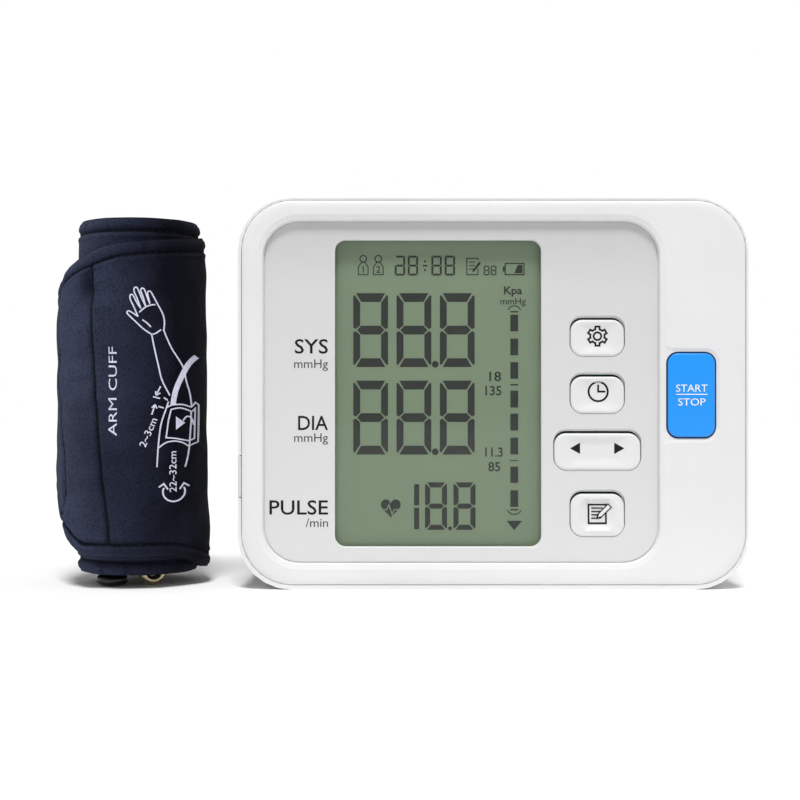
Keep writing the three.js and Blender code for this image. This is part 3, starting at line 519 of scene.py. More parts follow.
def corner_blend(x, z, side, radius=3.2):
    """Rounds the inner corner where the start key's band meets the recess; x, z is the corner at the rim's level."""
    rings = []
    for out, y in BEVEL_PROFILE:
        px, pz, r = x + out, z + side * out, radius - out
        ring = [(px - 1.5, y, pz - side * 1.5), (px + r, y, pz - side * 1.5)]
        for step in range(11):
            a = math.radians(90 * step / 10)
            ring.append((px + r * (1 - math.sin(a)), y, pz + side * r * (1 - math.cos(a))))
        ring.append((px - 1.5, y, pz + side * r))
        rings.append(ring if side > 0 else list(reversed(ring)))
    return bare("corner", *loft(rings))


def front_cover():
    cover = cutter("front_shell", rounded_front(FRONT.grown(0.16), FRONT_Y, 3.2, PARTING_Y, 10, 1.0), 16)
    inside = FRONT.grown(-2.2)
    carve(cover, [cutter("inside", [(inside, FRONT_Y + 2.2), (inside, PARTING_Y + 1)], 12)])
    backing = RECESS.grown(3.6)
    carve(cover, [cutter("backing", [(backing, FRONT_Y + 2.0), (backing, PANEL_BACK_Y)], 12)], "UNION")
    around, band = start_band()
    carve(cover, [cutter("band", band, 12)])
    for side in (-1, 1):
        corner_x = RECESS.x + RECESS.width / 2 + RIM_OUT
        carve(cover, [corner_blend(corner_x, around.z + side * around.height / 2, side)])
    carve(cover, [cutter("recess", recess_layers(), 16)])
    carve(cover, [cutter("window", flared(WINDOW, PANEL_Y, PANEL_BACK_Y + 1))])
    for node in POCKETS:
        pocket = flared(pocket_of(node), PANEL_Y, PANEL_Y + POCKET_DEPTH, fillet=0.3)
        carve(cover, [cutter("pocket", pocket)])
        cap = cap_of(node)
        hole = Outline(cap.x, cap.z + 0.2, cap.width + 0.6, cap.height + 1.0, 3.9)
        carve(cover, [cutter("hole", [(hole, PANEL_Y - 1), (hole, PANEL_BACK_Y + 1)])])
    hole = START.grown(0.3)
    carve(cover, [cutter("hole", [(hole, FRONT_Y - 1), (hole, PARTING_Y + 1)])])
    dress(cover, WHITE, "casing", 28)
    # the recess floor takes the panel material with its painted shade
    cover.data.materials.append(PANEL_PAINTED_SHADE)
    for polygon in cover.data.polygons:
        depth = polygon.center.y / MM - PANEL_Y
        if polygon.normal.y < -0.9 and abs(depth) < 0.3:
            polygon.material_index = 1
    return cover


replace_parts(front_cover(), "front_cover")


# ---------------------------------------------------------------- keys


def key_cap(name, node, material, body, face, outline, edge=0.7, neck=None, back=PANEL_BACK_Y + 1.0):
    """A moulded key cap. face(x, z) gives how far its face stands in front of PANEL_Y.
    neck is (outline, y): behind y the cap narrows to that outline, which passes through the casing's wall."""
    o = outline
    rings = []
    inner = o.grown(-edge)
    for share in (0.05, 0.15, 0.27, 0.4, 0.52, 0.63, 0.73, 0.81, 0.88, 0.94, 1.0):
        ring = [(o.x + (x - o.x) * share, o.z + (z - o.z) * share) for x, z in inner.ring(12)]
        rings.append([(x, PANEL_Y - face(x, z), z) for x, z in ring])
    for step in range(1, 8):
        a = math.radians(90 * step / 7)
        ring = o.grown(-edge * (1 - math.sin(a))).ring(12)
        rings.append([(x, PANEL_Y - face(x, z) + edge * (1 - math.cos(a)), z) for x, z in ring])
    if neck:
        narrow, y = neck
        rings.append([(x, max(y, rings[-1][k][1] + 0.02), z) for k, (x, z) in enumerate(o.ring(12))])
        floor = max(p[1] for p in rings[-1])
        rings.append([(x, floor + 0.02, z) for x, z in narrow.ring(12)])
        rings.append([(x, back, z) for x, z in narrow.ring(12)])
    else:
        rings.append([(x, back, z) for x, z in o.ring(12)])
    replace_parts(piece(name, *loft(rings), material, body, 40), node)


def head_of(node):
    """The visible head of a small key: it fills its pocket but for the shaded gap along the top."""
    pocket = pocket_of(node)
    side, top, base = 0.3, 1.35, 0.03
    return Outline(pocket.x, pocket.z - (top - base) / 2, pocket.width - 2 * side,
                   pocket.height - top - base, 3.9)


def small_key_face(node, dip=0.85, high=-0.05, low=0.45):
    """A dished face that leans: sunk at its top edge (high) and proud of the panel at its bottom edge (low)."""
    o = head_of(node)

    def face(x, z):
        u, v = 2 * (x - o.x) / o.width, 2 * (z - o.z) / o.height
        lean = low + (high - low) * (v + 1) / 2
        edge = max(abs(u) ** 3, abs(v) ** 3)
        corner = (abs(u) ** 4 + abs(v) ** 4) ** 0.25
        return lean - dip * (1 - smooth(corner, 0.35, 1.0)) * (1 - 0.2 * edge)

    return face


def memory_face(x, z):
    o = head_of("memory_button")
    base = small_key_face("memory_button", 0.2, -0.25, 0.4)(x, z)
    reach = math.hypot(x - o.x, z - o.z - 0.2)
    return base - 0.7 * (1 - smooth(reach, 3.9, 6.4)) + 0.3 * math.exp(-((reach - 6.8) / 0.7) ** 2)


FACES = {
    "settings_button": small_key_face("settings_button"),
    "clock_button": small_key_face("clock_button"),
    "arrow_rocker": small_key_face("arrow_rocker", 0.8),
    "memory_button": memory_face,
}
BODIES = {"settings_button": "settings_key", "clock_button": "clock_key",
          "arrow_rocker": "arrow_key", "memory_button": "memory_key"}
for node, face in FACES.items():
    key_cap(node.replace("button", "key").replace("rocker", "key") + "_cap", node, KEY_WHITE, BODIES[node], face,
            head_of(node), 0.55 if node == "memory_button" else 0.8, (cap_of(node), PANEL_Y + 0.1),
            PANEL_BACK_Y + (0.3 if node == "arrow_rocker" else 1.0))


START_PROUD = FRONT_Y - START_LOW.y


def start_face(x, z):
    u, v = 2 * (x - START.x) / START.width, 2 * (z - START.z) / START.height
    return PANEL_Y - FRONT_Y + START_PROUD - 0.12 * u * u - 0.2 * v * v


key_cap("start_stop_key_cap", "start_stop_button", KEY_BLUE, "start_key", start_face, START.grown(-0.25), 0.55,
        back=FRONT_Y + 3.2)
# the skirt fills the gap round the start key with painted shade in the key's blue darkened to navy
skirt = START.grown(0.02)
piece("start_stop_key_skirt", *layered(
    [(skirt, FRONT_Y + 0.35), (skirt.grown(0.01), FRONT_Y + 0.6), (skirt, FRONT_Y + 3.0)]), KEY_BLUE_PAINTED_SHADE, "start_key")


# ---------------------------------------------------------------- flat line art


CAPITAL = 0.69                     # height of the typeface's capitals at size 1


class Art:
    """Flat shapes in X and Z that are laid on a surface."""

    def __init__(self):
        self.points, self.faces = [], []

    def polygon(self, points):
        start = len(self.points)
        self.points += points
        area = sum(points[i - 1][0] * points[i][1] - points[i][0] * points[i - 1][1] for i in range(len(points)))
        order = list(range(start, start + len(points)))
        self.faces.append(tuple(order if area > 0 else reversed(order)))
        return self

    def line(self, points, width, shut=False):
        """A stroke of even width through the points."""
        pts = [Vector(p) for p in points]
        count = len(pts)
        sides = []
        for i, p in enumerate(pts):
            before = pts[i - 1] if i or shut else None
            after = pts[(i + 1) % count] if i < count - 1 or shut else None
            first = (p - before).normalized() if before is not None else (after - p).normalized()
            second = (after - p).normalized() if after is not None else first
            mid = first + second
            mid = mid.normalized() if mid.length > 1e-6 else first
            across = Vector((-mid.y, mid.x))
            reach = width / 2 / max(abs(across.dot(Vector((-second.y, second.x)))), 0.35)
            sides.append((p + across * reach, p - across * reach))
        for i in range(count if shut else count - 1):
            a, b = sides[i], sides[(i + 1) % count]
            self.polygon([a[0], a[1], b[1], b[0]])
        return self

    def curve(self, points, width, steps=5):
        """A stroke along a smooth Catmull-Rom curve through the points."""
        pts = [Vector(p) for p in points]
        path = []
        for i in range(len(pts) - 1):
            a, b, c, d = pts[max(i - 1, 0)], pts[i], pts[i + 1], pts[min(i + 2, len(pts) - 1)]
            for step in range(steps):
                t = step / steps
                path.append(0.5 * (2 * b + (c - a) * t + (2 * a - 5 * b + 4 * c - d) * t ** 2
                                   + (3 * b - a - 3 * c + d) * t ** 3))
        return self.line(path + [pts[-1]], width)

    def arc(self, x, z, radius, width, start=0, end=360, steps=32):
        shut = end - start >= 360
        count = steps if shut else steps + 1
        angles = [math.radians(start + (end - start) * i / steps) for i in range(count)]
        return self.line([(x + radius * math.cos(a), z + radius * math.sin(a)) for a in angles], width, shut)

    def disc(self, x, z, radius, sides=20):
        angles = [2 * math.pi * i / sides for i in range(sides)]
        return self.polygon([(x + radius * math.cos(a), z + radius * math.sin(a)) for a in angles])

    def bar(self, x0, z0, x1, z1):
        return self.polygon([(x0, z0), (x1, z0), (x1, z1), (x0, z1)])

    def text(self, words, x, z, height, width=None, align="LEFT", angle=0, bold=0.0):
        """Words whose capitals are this high. width is the whole line's width; x, z is its lower corner."""
        curve = bpy.data.curves.new("words", "FONT")
        curve.body = words
        curve.resolution_u = 3
        curve.offset = bold
        holder = placed("words", curve)
        graph = bpy.context.evaluated_depsgraph_get()
        mesh = bpy.data.meshes.new_from_object(holder.evaluated_get(graph))
        bpy.data.objects.remove(holder)
        xs = [v.co.x for v in mesh.vertices]
        scale_z = height / CAPITAL
        scale_x = width / (max(xs) - min(xs)) if width else scale_z
        base = {"LEFT": min(xs), "RIGHT": max(xs), "CENTER": (max(xs) + min(xs)) / 2}[align]
        c, s = math.cos(math.radians(angle)), math.sin(math.radians(angle))
        start = len(self.points)
        for v in mesh.vertices:
            u, w = (v.co.x - base) * scale_x, v.co.y * scale_z
            self.points.append((x + u * c - w * s, z + u * s + w * c))
        self.faces += [tuple(start + i for i in p.vertices) for p in mesh.polygons]
        bpy.data.meshes.remove(mesh)
        return self

    def lay(self, name, surface, material, body, thickness=0.04, grain=None):
        """Makes the art a thin raised layer. surface(x, z) gives the Y of what it lies on; edges longer than
        the grain are divided so that the layer follows it."""
        art = bare(name, [(x, 0, z) for x, z in self.points], self.faces)
        mesh = bmesh.new()
        mesh.from_mesh(art.data)
        bmesh.ops.triangulate(mesh, faces=mesh.faces)
        if grain:
            for _ in range(6):
                long = [e for e in mesh.edges if e.calc_length() > grain * MM]
                if not long:
                    break
                bmesh.ops.subdivide_edges(mesh, edges=long, cuts=1, use_grid_fill=False)
                bmesh.ops.triangulate(mesh, faces=mesh.faces)
        for v in mesh.verts:
            v.co.y = (surface(v.co.x / MM, v.co.z / MM) - thickness) * MM
        mesh.to_mesh(art.data)
        mesh.free()
        return dress(art, material, body, 60)


def on(y):
    return lambda x, z: y


# ---------------------------------------------------------------- printed labels and icons

panel_art = Art()
LABEL_X = RECESS.x - RECESS.width / 2 + 20.8       # right-hand edge of the measurement names
for words, width, height, z in (("SYS", 10.9, 4.6, 77.3), ("DIA", 9.8, 4.6, 52.2), ("PULSE", 19.2, 4.6, 24.5)):
    panel_art.text(words, LABEL_X, z, height, width, "RIGHT", bold=0.008)
panel_art.lay("print_measurement_names", on(PANEL_Y), PRINT_BLACK, "casing")
unit_art = Art()
for words, width, height, z in (("mmHg", 11.1, 2.85, 72.5), ("mmHg", 11.1, 2.8, 48.3), ("/min", 7.3, 2.8, 20.4)):
    unit_art.text(words, LABEL_X, z, height, width, "RIGHT")
unit_art.lay("print_units", on(PANEL_Y), PRINT_GREY, "casing")


def key_surface(node):
    return lambda x, z: PANEL_Y - FACES[node](x, z)


def icon(name, node, art, thickness=0.05):
    art.lay(name, key_surface(node), PRINT_BLACK, BODIES[node], thickness, 0.7)


def gear_icon(x, z, outer=3.2, root=2.35, teeth=6, line=0.62):
    points = []
    for tooth in range(teeth):
        middle = 90 + 360 / teeth * tooth
        for offset, radius in ((-17, root), (-12, outer), (12, outer), (17, root)):
            a = math.radians(middle + offset)
            points.append((x + radius * math.cos(a), z + radius * math.sin(a)))
        for offset in (25, 30, 35):
            a = math.radians(middle + offset)
            points.append((x + root * math.cos(a), z + root * math.sin(a)))
    return Art().line(points, line, True).arc(x, z, 1.25, line)


gear = cap_of("settings_button")
icon("icon_gear", "settings_button", gear_icon(gear.x + 0.1, gear.z + 0.4))

dial = cap_of("clock_button")
hands = Art().arc(dial.x + 0.35, dial.z + 0.9, 3.15, 0.66)
hands.line([(dial.x + 0.35, dial.z + 3.2), (dial.x + 0.35, dial.z + 0.9), (dial.x + 2.7, dial.z + 0.9)], 0.62)
icon("icon_clock", "clock_button", hands)

rocker = cap_of("arrow_rocker")
arrows = Art()
for side in (-1, 1):
    tip, base = rocker.x + side * 8.9, rocker.x + side * 5.6
    arrows.polygon([(tip, rocker.z + 0.9), (base, rocker.z + 2.75), (base, rocker.z - 0.95)])
icon("icon_arrows", "arrow_rocker", arrows)

note = cap_of("memory_button")
page = Art().line([(note.x - 2.8, note.z - 2.9), (note.x + 2.9, note.z - 2.9), (note.x + 2.9, note.z + 3.2),
                   (note.x - 2.8, note.z + 3.2)], 0.56, True)
for row in range(4):
    high = note.z + 1.9 - row * 1.1
    page.bar(note.x - 1.9, high - 0.05, note.x + (1.9 if row < 2 else 0.6), high + 0.37)
icon("icon_page", "memory_button", page, 0.14)


def pencil_outline(x, z, length, half):
    """A pencil lying at 45 degrees with its tip at x, z."""
    c = math.sqrt(0.5)
    local = [(0, 0), (1.1, half), (length, half), (length, -half), (1.1, -half)]
    return [(x + (u - v) * c, z + (u + v) * c) for u, v in local]


PENCIL_TIP = (note.x - 0.25, note.z - 1.5)
icon("icon_pencil_line", "memory_button", Art().polygon(pencil_outline(*PENCIL_TIP, 6.3, 0.9)), 0.17)
white_core = Art().polygon(pencil_outline(PENCIL_TIP[0] + 0.55, PENCIL_TIP[1] + 0.55, 5.2, 0.55))
white_core.lay("icon_pencil_core", lambda x, z: key_surface("memory_button")(x, z) - 0.17, KEY_WHITE,
               "memory_key", 0.04, 0.7)

start_art = Art().text("START", START.x, START.z + 1.1, 2.35, 10.2, "CENTER")
start_art.bar(START.x - 5.1, START.z + 0.1, START.x + 5.1, START.z + 0.4)
start_art.text("STOP", START.x, START.z - 3.4, 2.35, 8.9, "CENTER")
start_art.lay("print_start_stop", lambda x, z: PANEL_Y - start_face(x, z), PRINT_WHITE, "start_key", 0.05, 1.5)


# ---------------------------------------------------------------- liquid crystal segments

SEGMENT_Y = box_mm("lcd_glass")[0].y - 0.02
LCD_X, LCD_Z = WINDOW.x + 0.15, WINDOW.z + 0.05


def digit(art, x, z, width, height, across, down, shown="abcdefg"):
    """Seven-segment digit with mitred ends. x, z is its lower left corner; across and down are bar widths."""
    gap, cut = min(across, down) * 0.13, down * 0.2
    mid = z + height / 2
    right, top = x + width, z + height
    shapes = {
        "a": [(x + 2 * cut, top), (right - 2 * cut, top), (right - down - gap, top - across),
              (x + down + gap, top - across)],
        "d": [(x + 2 * cut, z), (right - 2 * cut, z), (right - down - gap, z + across), (x + down + gap, z + across)],
        "g": [(x + gap * 2 + down * 0.3, mid), (x + down + gap, mid + across / 2),
              (right - down - gap, mid + across / 2), (right - gap * 2 - down * 0.3, mid),
              (right - down - gap, mid - across / 2), (x + down + gap, mid - across / 2)],
    }
    for side, *pair in ((1, "b", "c"), (-1, "f", "e")):
        outer = right if side > 0 else x
        inner, notch, near = outer - side * down, outer - side * down * 0.35, outer - side * cut
        for name, end, way in zip(pair, (top, z), (1, -1)):
            shapes[name] = [(outer, end - way * 2 * cut), (near, end - way * 1.4 * cut),
                            (inner, end - way * (across + gap)), (inner, mid + way * (across / 2 + gap * 0.5)),
                            (notch, mid + way * gap), (outer, mid + way * (gap + across * 0.18))]
    for segment in shown:
        art.polygon(shapes[segment])
    return art


lcd = Art()
for base in (8.7, -20.2):
    for column in range(3):
        digit(lcd, LCD_X - 28.1 + column * 14.3, LCD_Z + base, 11.5, 24.4, 2.9, 2.3)
    lcd.disc(LCD_X - 1.0, LCD_Z + base + 0.9, 1.1)
lcd.bar(LCD_X - 8.0, LCD_Z - 37.0, LCD_X - 6.3, LCD_Z - 30.0)
lcd.bar(LCD_X - 8.0, LCD_Z - 44.9, LCD_X - 6.3, LCD_Z - 37.8)
for left in (-4.4, 5.0):
    digit(lcd, LCD_X + left, LCD_Z - 45.1, 7.3, 15.7, 1.7, 1.7)
lcd.disc(LCD_X + 3.9, LCD_Z - 44.6, 0.66)


def heart(art, x, z, width, height):
    points = []
    for i in range(40):
        t = 2 * math.pi * (i + 0.5) / 40
        u = math.sin(t) ** 3
        v = (13 * math.cos(t) - 5 * math.cos(2 * t) - 2 * math.cos(3 * t) - math.cos(4 * t)) / 14.5
        points.append((x + u * width / 2, z + v * height / 2 + height * 0.08))
    return art.polygon(points)


heart(lcd, LCD_X - 15.7, LCD_Z - 38.1, 6.6, 6.3)
# the clock, at the top
for left, shown in ((-14.4, "abcdeg"), (-10.1, "abcdefg"), (-2.3, "abcdefg"), (2.1, "abcdefg")):
    digit(lcd, LCD_X + left, LCD_Z + 38.9, 3.45, 6.6, 0.66, 0.66, shown)
for high in (40.7, 43.6):
    lcd.disc(LCD_X - 4.4, LCD_Z + high, 0.36, 12)
lcd.bar(LCD_X - 5.1, LCD_Z + 41.9, LCD_X - 3.6, LCD_Z + 42.4)
for left in (15.0, 17.3):
    digit(lcd, LCD_X + left, LCD_Z + 39.0, 1.9, 3.2, 0.4, 0.4)
# two users
for left, number in ((-26.5, "1"), (-21.5, "2")):
    x, z = LCD_X + left + 1.7, LCD_Z + 39.1
    lcd.arc(x, z + 5.35, 1.1, 0.36, 0, 360, 20)
    lcd.line([(x - 1.6, z + 0.1), (x - 1.6, z + 2.7), (x - 0.5, z + 4.2), (x + 0.5, z + 4.2), (x + 1.6, z + 2.7),
              (x + 1.6, z + 0.1)], 0.33, True)
    lcd.text(number, x, z + 0.75, 2.2, None, "CENTER", bold=0.01)
# the memory symbol: a page and a pen
x, z = LCD_X + 9.2, LCD_Z + 39.0
lcd.line([(x + 0.2, z + 0.2), (x + 3.9, z + 0.2), (x + 3.9, z + 2.4)], 0.34)
lcd.line([(x + 0.2, z + 0.2), (x + 0.2, z + 5.6), (x + 3.9, z + 5.6), (x + 3.9, z + 5.0)], 0.34)
for row in range(3):
    lcd.bar(x + 0.9, z + 4.2 - row * 1.15, x + 2.9, z + 4.5 - row * 1.15)
lcd.polygon([(x + 1.9, z + 1.3), (x + 2.5, z + 1.1), (x + 4.9, z + 4.0), (x + 4.3, z + 4.5)])
# the battery symbol
x, z = LCD_X + 21.9, LCD_Z + 39.0
lcd.line([(x + 0.2, z + 0.2), (x + 6.4, z + 0.2), (x + 6.4, z + 3.9), (x + 0.2, z + 3.9)], 0.38, True)
lcd.bar(x - 0.6, z + 1.2, x, z + 2.9)
lcd.polygon([(x + 3.2, z + 0.7), (x + 5.9, z + 0.7), (x + 5.9, z + 3.4), (x + 4.4, z + 3.4)])
# the rating column
x = LCD_X + 25.1
lcd.text("Kpa", x - 0.4, LCD_Z + 32.8, 2.5, 6.0, "CENTER", bold=0.02)
lcd.text("mmHg", x - 0.4, LCD_Z + 29.4, 2.1, 8.4, "CENTER", bold=0.006)
lcd.arc(x, LCD_Z + 26.6, 2.3, 0.36, 25, 155, 12)
for low, high in ((26.7, 27.2), (20.5, 26.0), (12.6, 18.1), (4.8, 10.3), (2.6, 3.1), (-4.7, 0.9), (-12.3, -6.7),
                  (-20.2, -14.6), (-22.4, -22.0), (-29.6, -24.2), (-37.5, -32.0), (-38.7, -38.2)):
    lcd.bar(x - 1.3, LCD_Z + low, x + 1.3, LCD_Z + high)
lcd.arc(x, LCD_Z - 37.5, 2.5, 0.36, -155, -25, 12)
lcd.polygon([(x - 2.6, LCD_Z - 42.1), (x, LCD_Z - 45.2), (x + 2.6, LCD_Z - 42.1)])
for words, centre, z, width in (("18", 18.6, 4.1, 3.9), ("135", 18.0, -0.6, 5.3), ("11.3", 18.2, -20.9, 5.8),
                                ("85", 18.3, -25.7, 4.0)):
    lcd.text(words, LCD_X + centre + 0.2, LCD_Z + z, 3.0, width, "CENTER", bold=0.015)
lcd.lay("lcd_segments", on(SEGMENT_Y), SEGMENT, "casing", 0.03)
pulse_line = Art().line([(LCD_X - 18.4, LCD_Z - 38.4), (LCD_X - 17.0, LCD_Z - 38.4), (LCD_X - 16.3, LCD_Z - 36.8),
                         (LCD_X - 15.3, LCD_Z - 40.0), (LCD_X - 14.6, LCD_Z - 38.4), (LCD_X - 13.0, LCD_Z - 38.4)],
                        0.36)
pulse_line.lay("lcd_pulse_line", on(SEGMENT_Y - 0.03), SCREEN, "casing", 0.03)


# ---------------------------------------------------------------- the rolled cuff

ROLL_LOW, ROLL_HIGH = box_mm("cuff_outer_cloth")
ROLL_RADIUS = 25.3
ROLL_X, ROLL_Y = ROLL_LOW.x + ROLL_RADIUS, ROLL_LOW.y + ROLL_RADIUS + 0.55
TURNS = 3.7
PITCH = 2.25                       # from one turn to the next
DRIFT, LIFT = 2.0, 2.3             # how far the inner turns lie to the right, and inside the loose outer turn
FABRIC, PLY = 0.5, 2.0             # thickness of the outer cloth and of all its layers
TOP_Z = ROLL_HIGH.z


def settled(turn):
    return smooth(turn, 0.5, 0.95)


def outward(turn):
    angle = math.pi + turn * 2 * math.pi
    return Vector((math.cos(angle), math.sin(angle), 0))


def roll_point(turn, depth, z):
    """A point this far below the outside of the roll, at a number of turns from its free end."""
    angle = math.pi + turn * 2 * math.pi
    radius = ROLL_RADIUS - (PITCH * turn + LIFT * settled(turn) + depth)
    return Vector((ROLL_X + DRIFT * settled(turn) + radius * math.cos(angle), ROLL_Y + radius * math.sin(angle), z))


def arc_table(steps=1200):
    lengths, last = [0.0], roll_point(0, 0, 0)
    for i in range(1, steps + 1):
        here = roll_point(TURNS * i / steps, 0, 0)
        lengths.append(lengths[-1] + (here - last).length)
        last = here
    return lengths


ARC = arc_table()


def arc_at(turn):
    """Length of cloth from the free end."""
    place = max(min(turn / TURNS, 1), 0) * (len(ARC) - 1)
    i = min(int(place), len(ARC) - 2)
    return ARC[i] + (ARC[i + 1] - ARC[i]) * (place - i)


def edges(turn):
    """Height of the cloth's lower and upper edge. The free end's lower corner is round and its upper corner
    is cut back to a long shoulder."""
    corner = 1 - min(turn / 0.17, 1)
    shoulder = 1 - min(turn / 0.26, 1)
    low = 10.9 + 24 * corner ** 1.67
    high = 109.4 + 15.2 * min(turn, 0.5) - 12.4 * shoulder ** 1.6
    low += (ROLL_LOW.z - low) * smooth(turn, 0.33, 0.56)
    return low, high + (TOP_Z - high) * smooth(turn, 0.46, 0.85)


EDGE_SEAM = 4.1                    # from the cloth's upper and lower edges to their stitching
DENT = 27                          # length of cloth from the free end to the dent under the upper seam


def cross_seam(z):
    """Length of cloth from the free end to the seam of the bladder's pocket."""
    return 28.5 + 6.9 * max(1 - (z - 15) / 90, 0) ** 1.5


def end_seam(z):
    """Length of cloth from the free end to the seam along it, which is pulled into waves."""
    return 11.6 + 5.0 * math.exp(-((z - 38) / 13) ** 2) + 0.6 * math.sin(z / 4)


def groove(distance, width=0.9):
    return math.exp(-(distance / width) ** 2)


def pucker(along, away, seed, pitch=6.5, reach=7.0):
    """Short gathers that run out of a seam."""
    wave = noise.noise(Vector((along / pitch, seed, away / 26)))
    return wave * math.exp(-abs(away) / reach) * (1 - math.exp(-(away / 1.1) ** 2))


def relief(turn, z):
    """How far the outer cloth stands out from the rolled shape: padding, seams, gathers and folds."""
    low, high = edges(turn)
    along = arc_at(turn)
    to_top, to_low = high - z, z - low
    loose = 1 - smooth(turn, 0.62, 0.95)
    out = 0.35 * smooth(min(to_top, to_low) - EDGE_SEAM, 0, 9) * (0.3 + 0.7 * loose)
    for edge in (to_top, to_low):
        out -= 0.6 * groove(edge - EDGE_SEAM)
        out += 0.35 * groove(edge - EDGE_SEAM - 1.5, 0.8) + 0.3 * groove(edge - EDGE_SEAM + 1.6, 1.0)
    out += 1.0 * pucker(along, to_top - EDGE_SEAM, 3.1, 7.5, 8)
    out += 1.1 * pucker(along, to_low - EDGE_SEAM, 7.7, 6.0, 10)
    if turn < 0.95:
        out -= 0.9 * groove(along - end_seam(z)) * loose
        out += 1.0 * pucker(z, along - end_seam(z), 11.3, 7.0, 5) * loose
        seam = along - cross_seam(z)
        between = loose * smooth(min(to_top, to_low), EDGE_SEAM - 0.5, EDGE_SEAM + 1)
        out -= 1.1 * groove(seam, 0.8) * between
        out += 0.45 * groove(seam - 1.5) * between + 0.3 * groove(seam + 1.5) * between
        out += 2.6 * pucker(z, seam, 17.9, 6.5, 9) * loose
        fold = noise.fractal(Vector((along / 26, z / 34, 5.0)), 0.9, 2.0, 3)
        out += 0.8 * fold * loose * smooth(min(to_top, to_low), 3, 14)
        sag = noise.noise(Vector((along / 60 + 4, z / 90, 2.0)))
        out += 0.7 * sag * loose
        # the dent where the pocket's seam runs into the upper seam, and the flare at the back of the hem
        out -= 2.0 * math.exp(-((along - DENT) / 4) ** 2 - ((to_top - 12) / 7) ** 2)
        out += 1.2 * math.exp(-((turn - 0.5) / 0.07) ** 2) * (1 - smooth(to_low, 3, 26))
    edge = min(to_top, to_low, along + 0.6 if turn < 0.9 else 99)
    out -= 0.9 * (1 - smooth(edge, -0.1, 1.4)) ** 2
    return out


def seam_shade(turn, z):
    """Painted shade on the cloth: 1 in the bottom of a seam, 0 away from it; the dent under the upper seam is shaded
    too.
    """
    low, high = edges(turn)
    along = arc_at(turn)
    shade = max(groove(high - z - EDGE_SEAM, 0.55), groove(z - low - EDGE_SEAM, 0.55))
    if turn < 0.95:
        between = smooth(min(high - z, z - low), EDGE_SEAM - 0.5, EDGE_SEAM + 0.5)
        shade = max(shade, groove(along - end_seam(z), 0.5), groove(along - cross_seam(z), 0.55) * between)
        # painted shade in the dent under the upper seam
        shade = max(shade, 0.8 * math.exp(-((along - DENT) / 3) ** 2 - ((high - z - 10) / 6) ** 2))
    return min(shade * 0.9, 1)


def outer_point(turn, z, depth=0.0):
    return roll_point(turn, depth, z) + outward(turn) * relief(turn, z)


def spread(parts):
    """Distances from (end, step) pairs: each pair fills the way up to its end with about that step."""
    places = [0.0]
    for end, step in parts:
        start = places[-1]
        count = max(round((end - start) / step), 1)
        places += [start + (end - start) * i / count for i in range(1, count + 1)]
    return places


def sheet_body(name, material, turn_from, turn_to, outer, inner, margin=0.0, fine=False):
    """A closed sheet between two surfaces, outer(turn, z) and inner(turn, z), with UVs in metres.
    A fine sheet has narrow rows and columns at its seams."""
    first, last = arc_at(turn_from), arc_at(turn_to)
    if fine:
        places = spread([(35, 0.5), (92, 0.9), (last, 1.9)])
        shares = spread([(0.09, 0.0045), (0.91, 0.0105), (1.0, 0.0045)])
    else:
        places = [first + d for d in spread([(last - first, 1.6)])]
        shares = spread([(1.0, 0.025)])
    turns = [min(max(turn_of(d), turn_from), turn_to) for d in places]
    columns, row = len(turns), len(shares)
    points, faces, flat, seam = [], [], [], []
    for surface in (outer, inner):
        for turn in turns:
            low, high = edges(turn)
            low, high = low + margin, high - margin
            for share in shares:
                z = low + (high - low) * share
                points.append(surface(turn, z))
                flat.append((arc_at(turn) * MM, z * MM))
                seam.append(seam_shade(turn, z) if fine else 0.0)
    layer = columns * row
    for i in range(columns - 1):
        for j in range(row - 1):
            a = i * row + j
            faces.append((a, a + row, a + row + 1, a + 1))
            b = a + layer
            faces.append((b, b + 1, b + row + 1, b + row))
        faces.append((i * row, i * row + layer, (i + 1) * row + layer, (i + 1) * row))
        top = i * row + row - 1
        faces.append((top, top + row, top + row + layer, top + layer))
    end = (columns - 1) * row
    for j in range(row - 1):
        faces.append((j, j + 1, j + 1 + layer, j + layer))
        faces.append((end + j, end + j + layer, end + j + 1 + layer, end + j + 1))
    made = bare(name, points, faces)
    add_uv(made, "cloth", lambda vertex: flat[vertex])
    # the attribute "seam" carries the painted shade of the seams and the dent
    made.data.attributes.new("seam", "FLOAT", "POINT").data.foreach_set("value", seam)
    return dress(made, material, "cuff", 70)


def turn_of(distance):
    """Number of turns at a length of cloth from the free end."""
    low, high = 0, len(ARC) - 1
    while high - low > 1:
        middle = (low + high) // 2
        if ARC[middle] < distance:
            low = middle
        else:
            high = middle
    share = (distance - ARC[low]) / (ARC[high] - ARC[low])
    return TURNS * (low + share) / (len(ARC) - 1)


def lining_point(turn, z, depth):
    return roll_point(turn, depth, z) + outward(turn) * 0.3 * relief(turn, z)


def rolled(depth):
    return lambda turn, z: roll_point(turn, depth, z)


outer_cloth = sheet_body("cuff_outer_fabric", CLOTH, 0.0, TURNS, outer_point,
                         lambda turn, z: outer_point(turn, z, FABRIC), fine=True)
inner_cloth = sheet_body("cuff_lining_fabric", LINING, 0.0, TURNS,
                         lambda turn, z: lining_point(turn, z, PLY - FABRIC),
                         lambda turn, z: lining_point(turn, z, PLY), 0.4)
bladder = sheet_body("cuff_bladder_sheet", BLADDER, 0.25, 1.6, rolled(FABRIC + 0.5), rolled(FABRIC + 0.8), 8.0)
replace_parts(outer_cloth, "cuff_outer_cloth")
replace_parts(inner_cloth, "cuff_inner_cloth")
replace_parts(bladder, "cuff_bladder")
hook_pad = sheet_body("cuff_hook_patch", HOOK, 0.05, 0.35, rolled(PLY + 0.12), rolled(PLY + 1.0), 14.0)
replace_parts(hook_pad, "cuff_hook_pad")


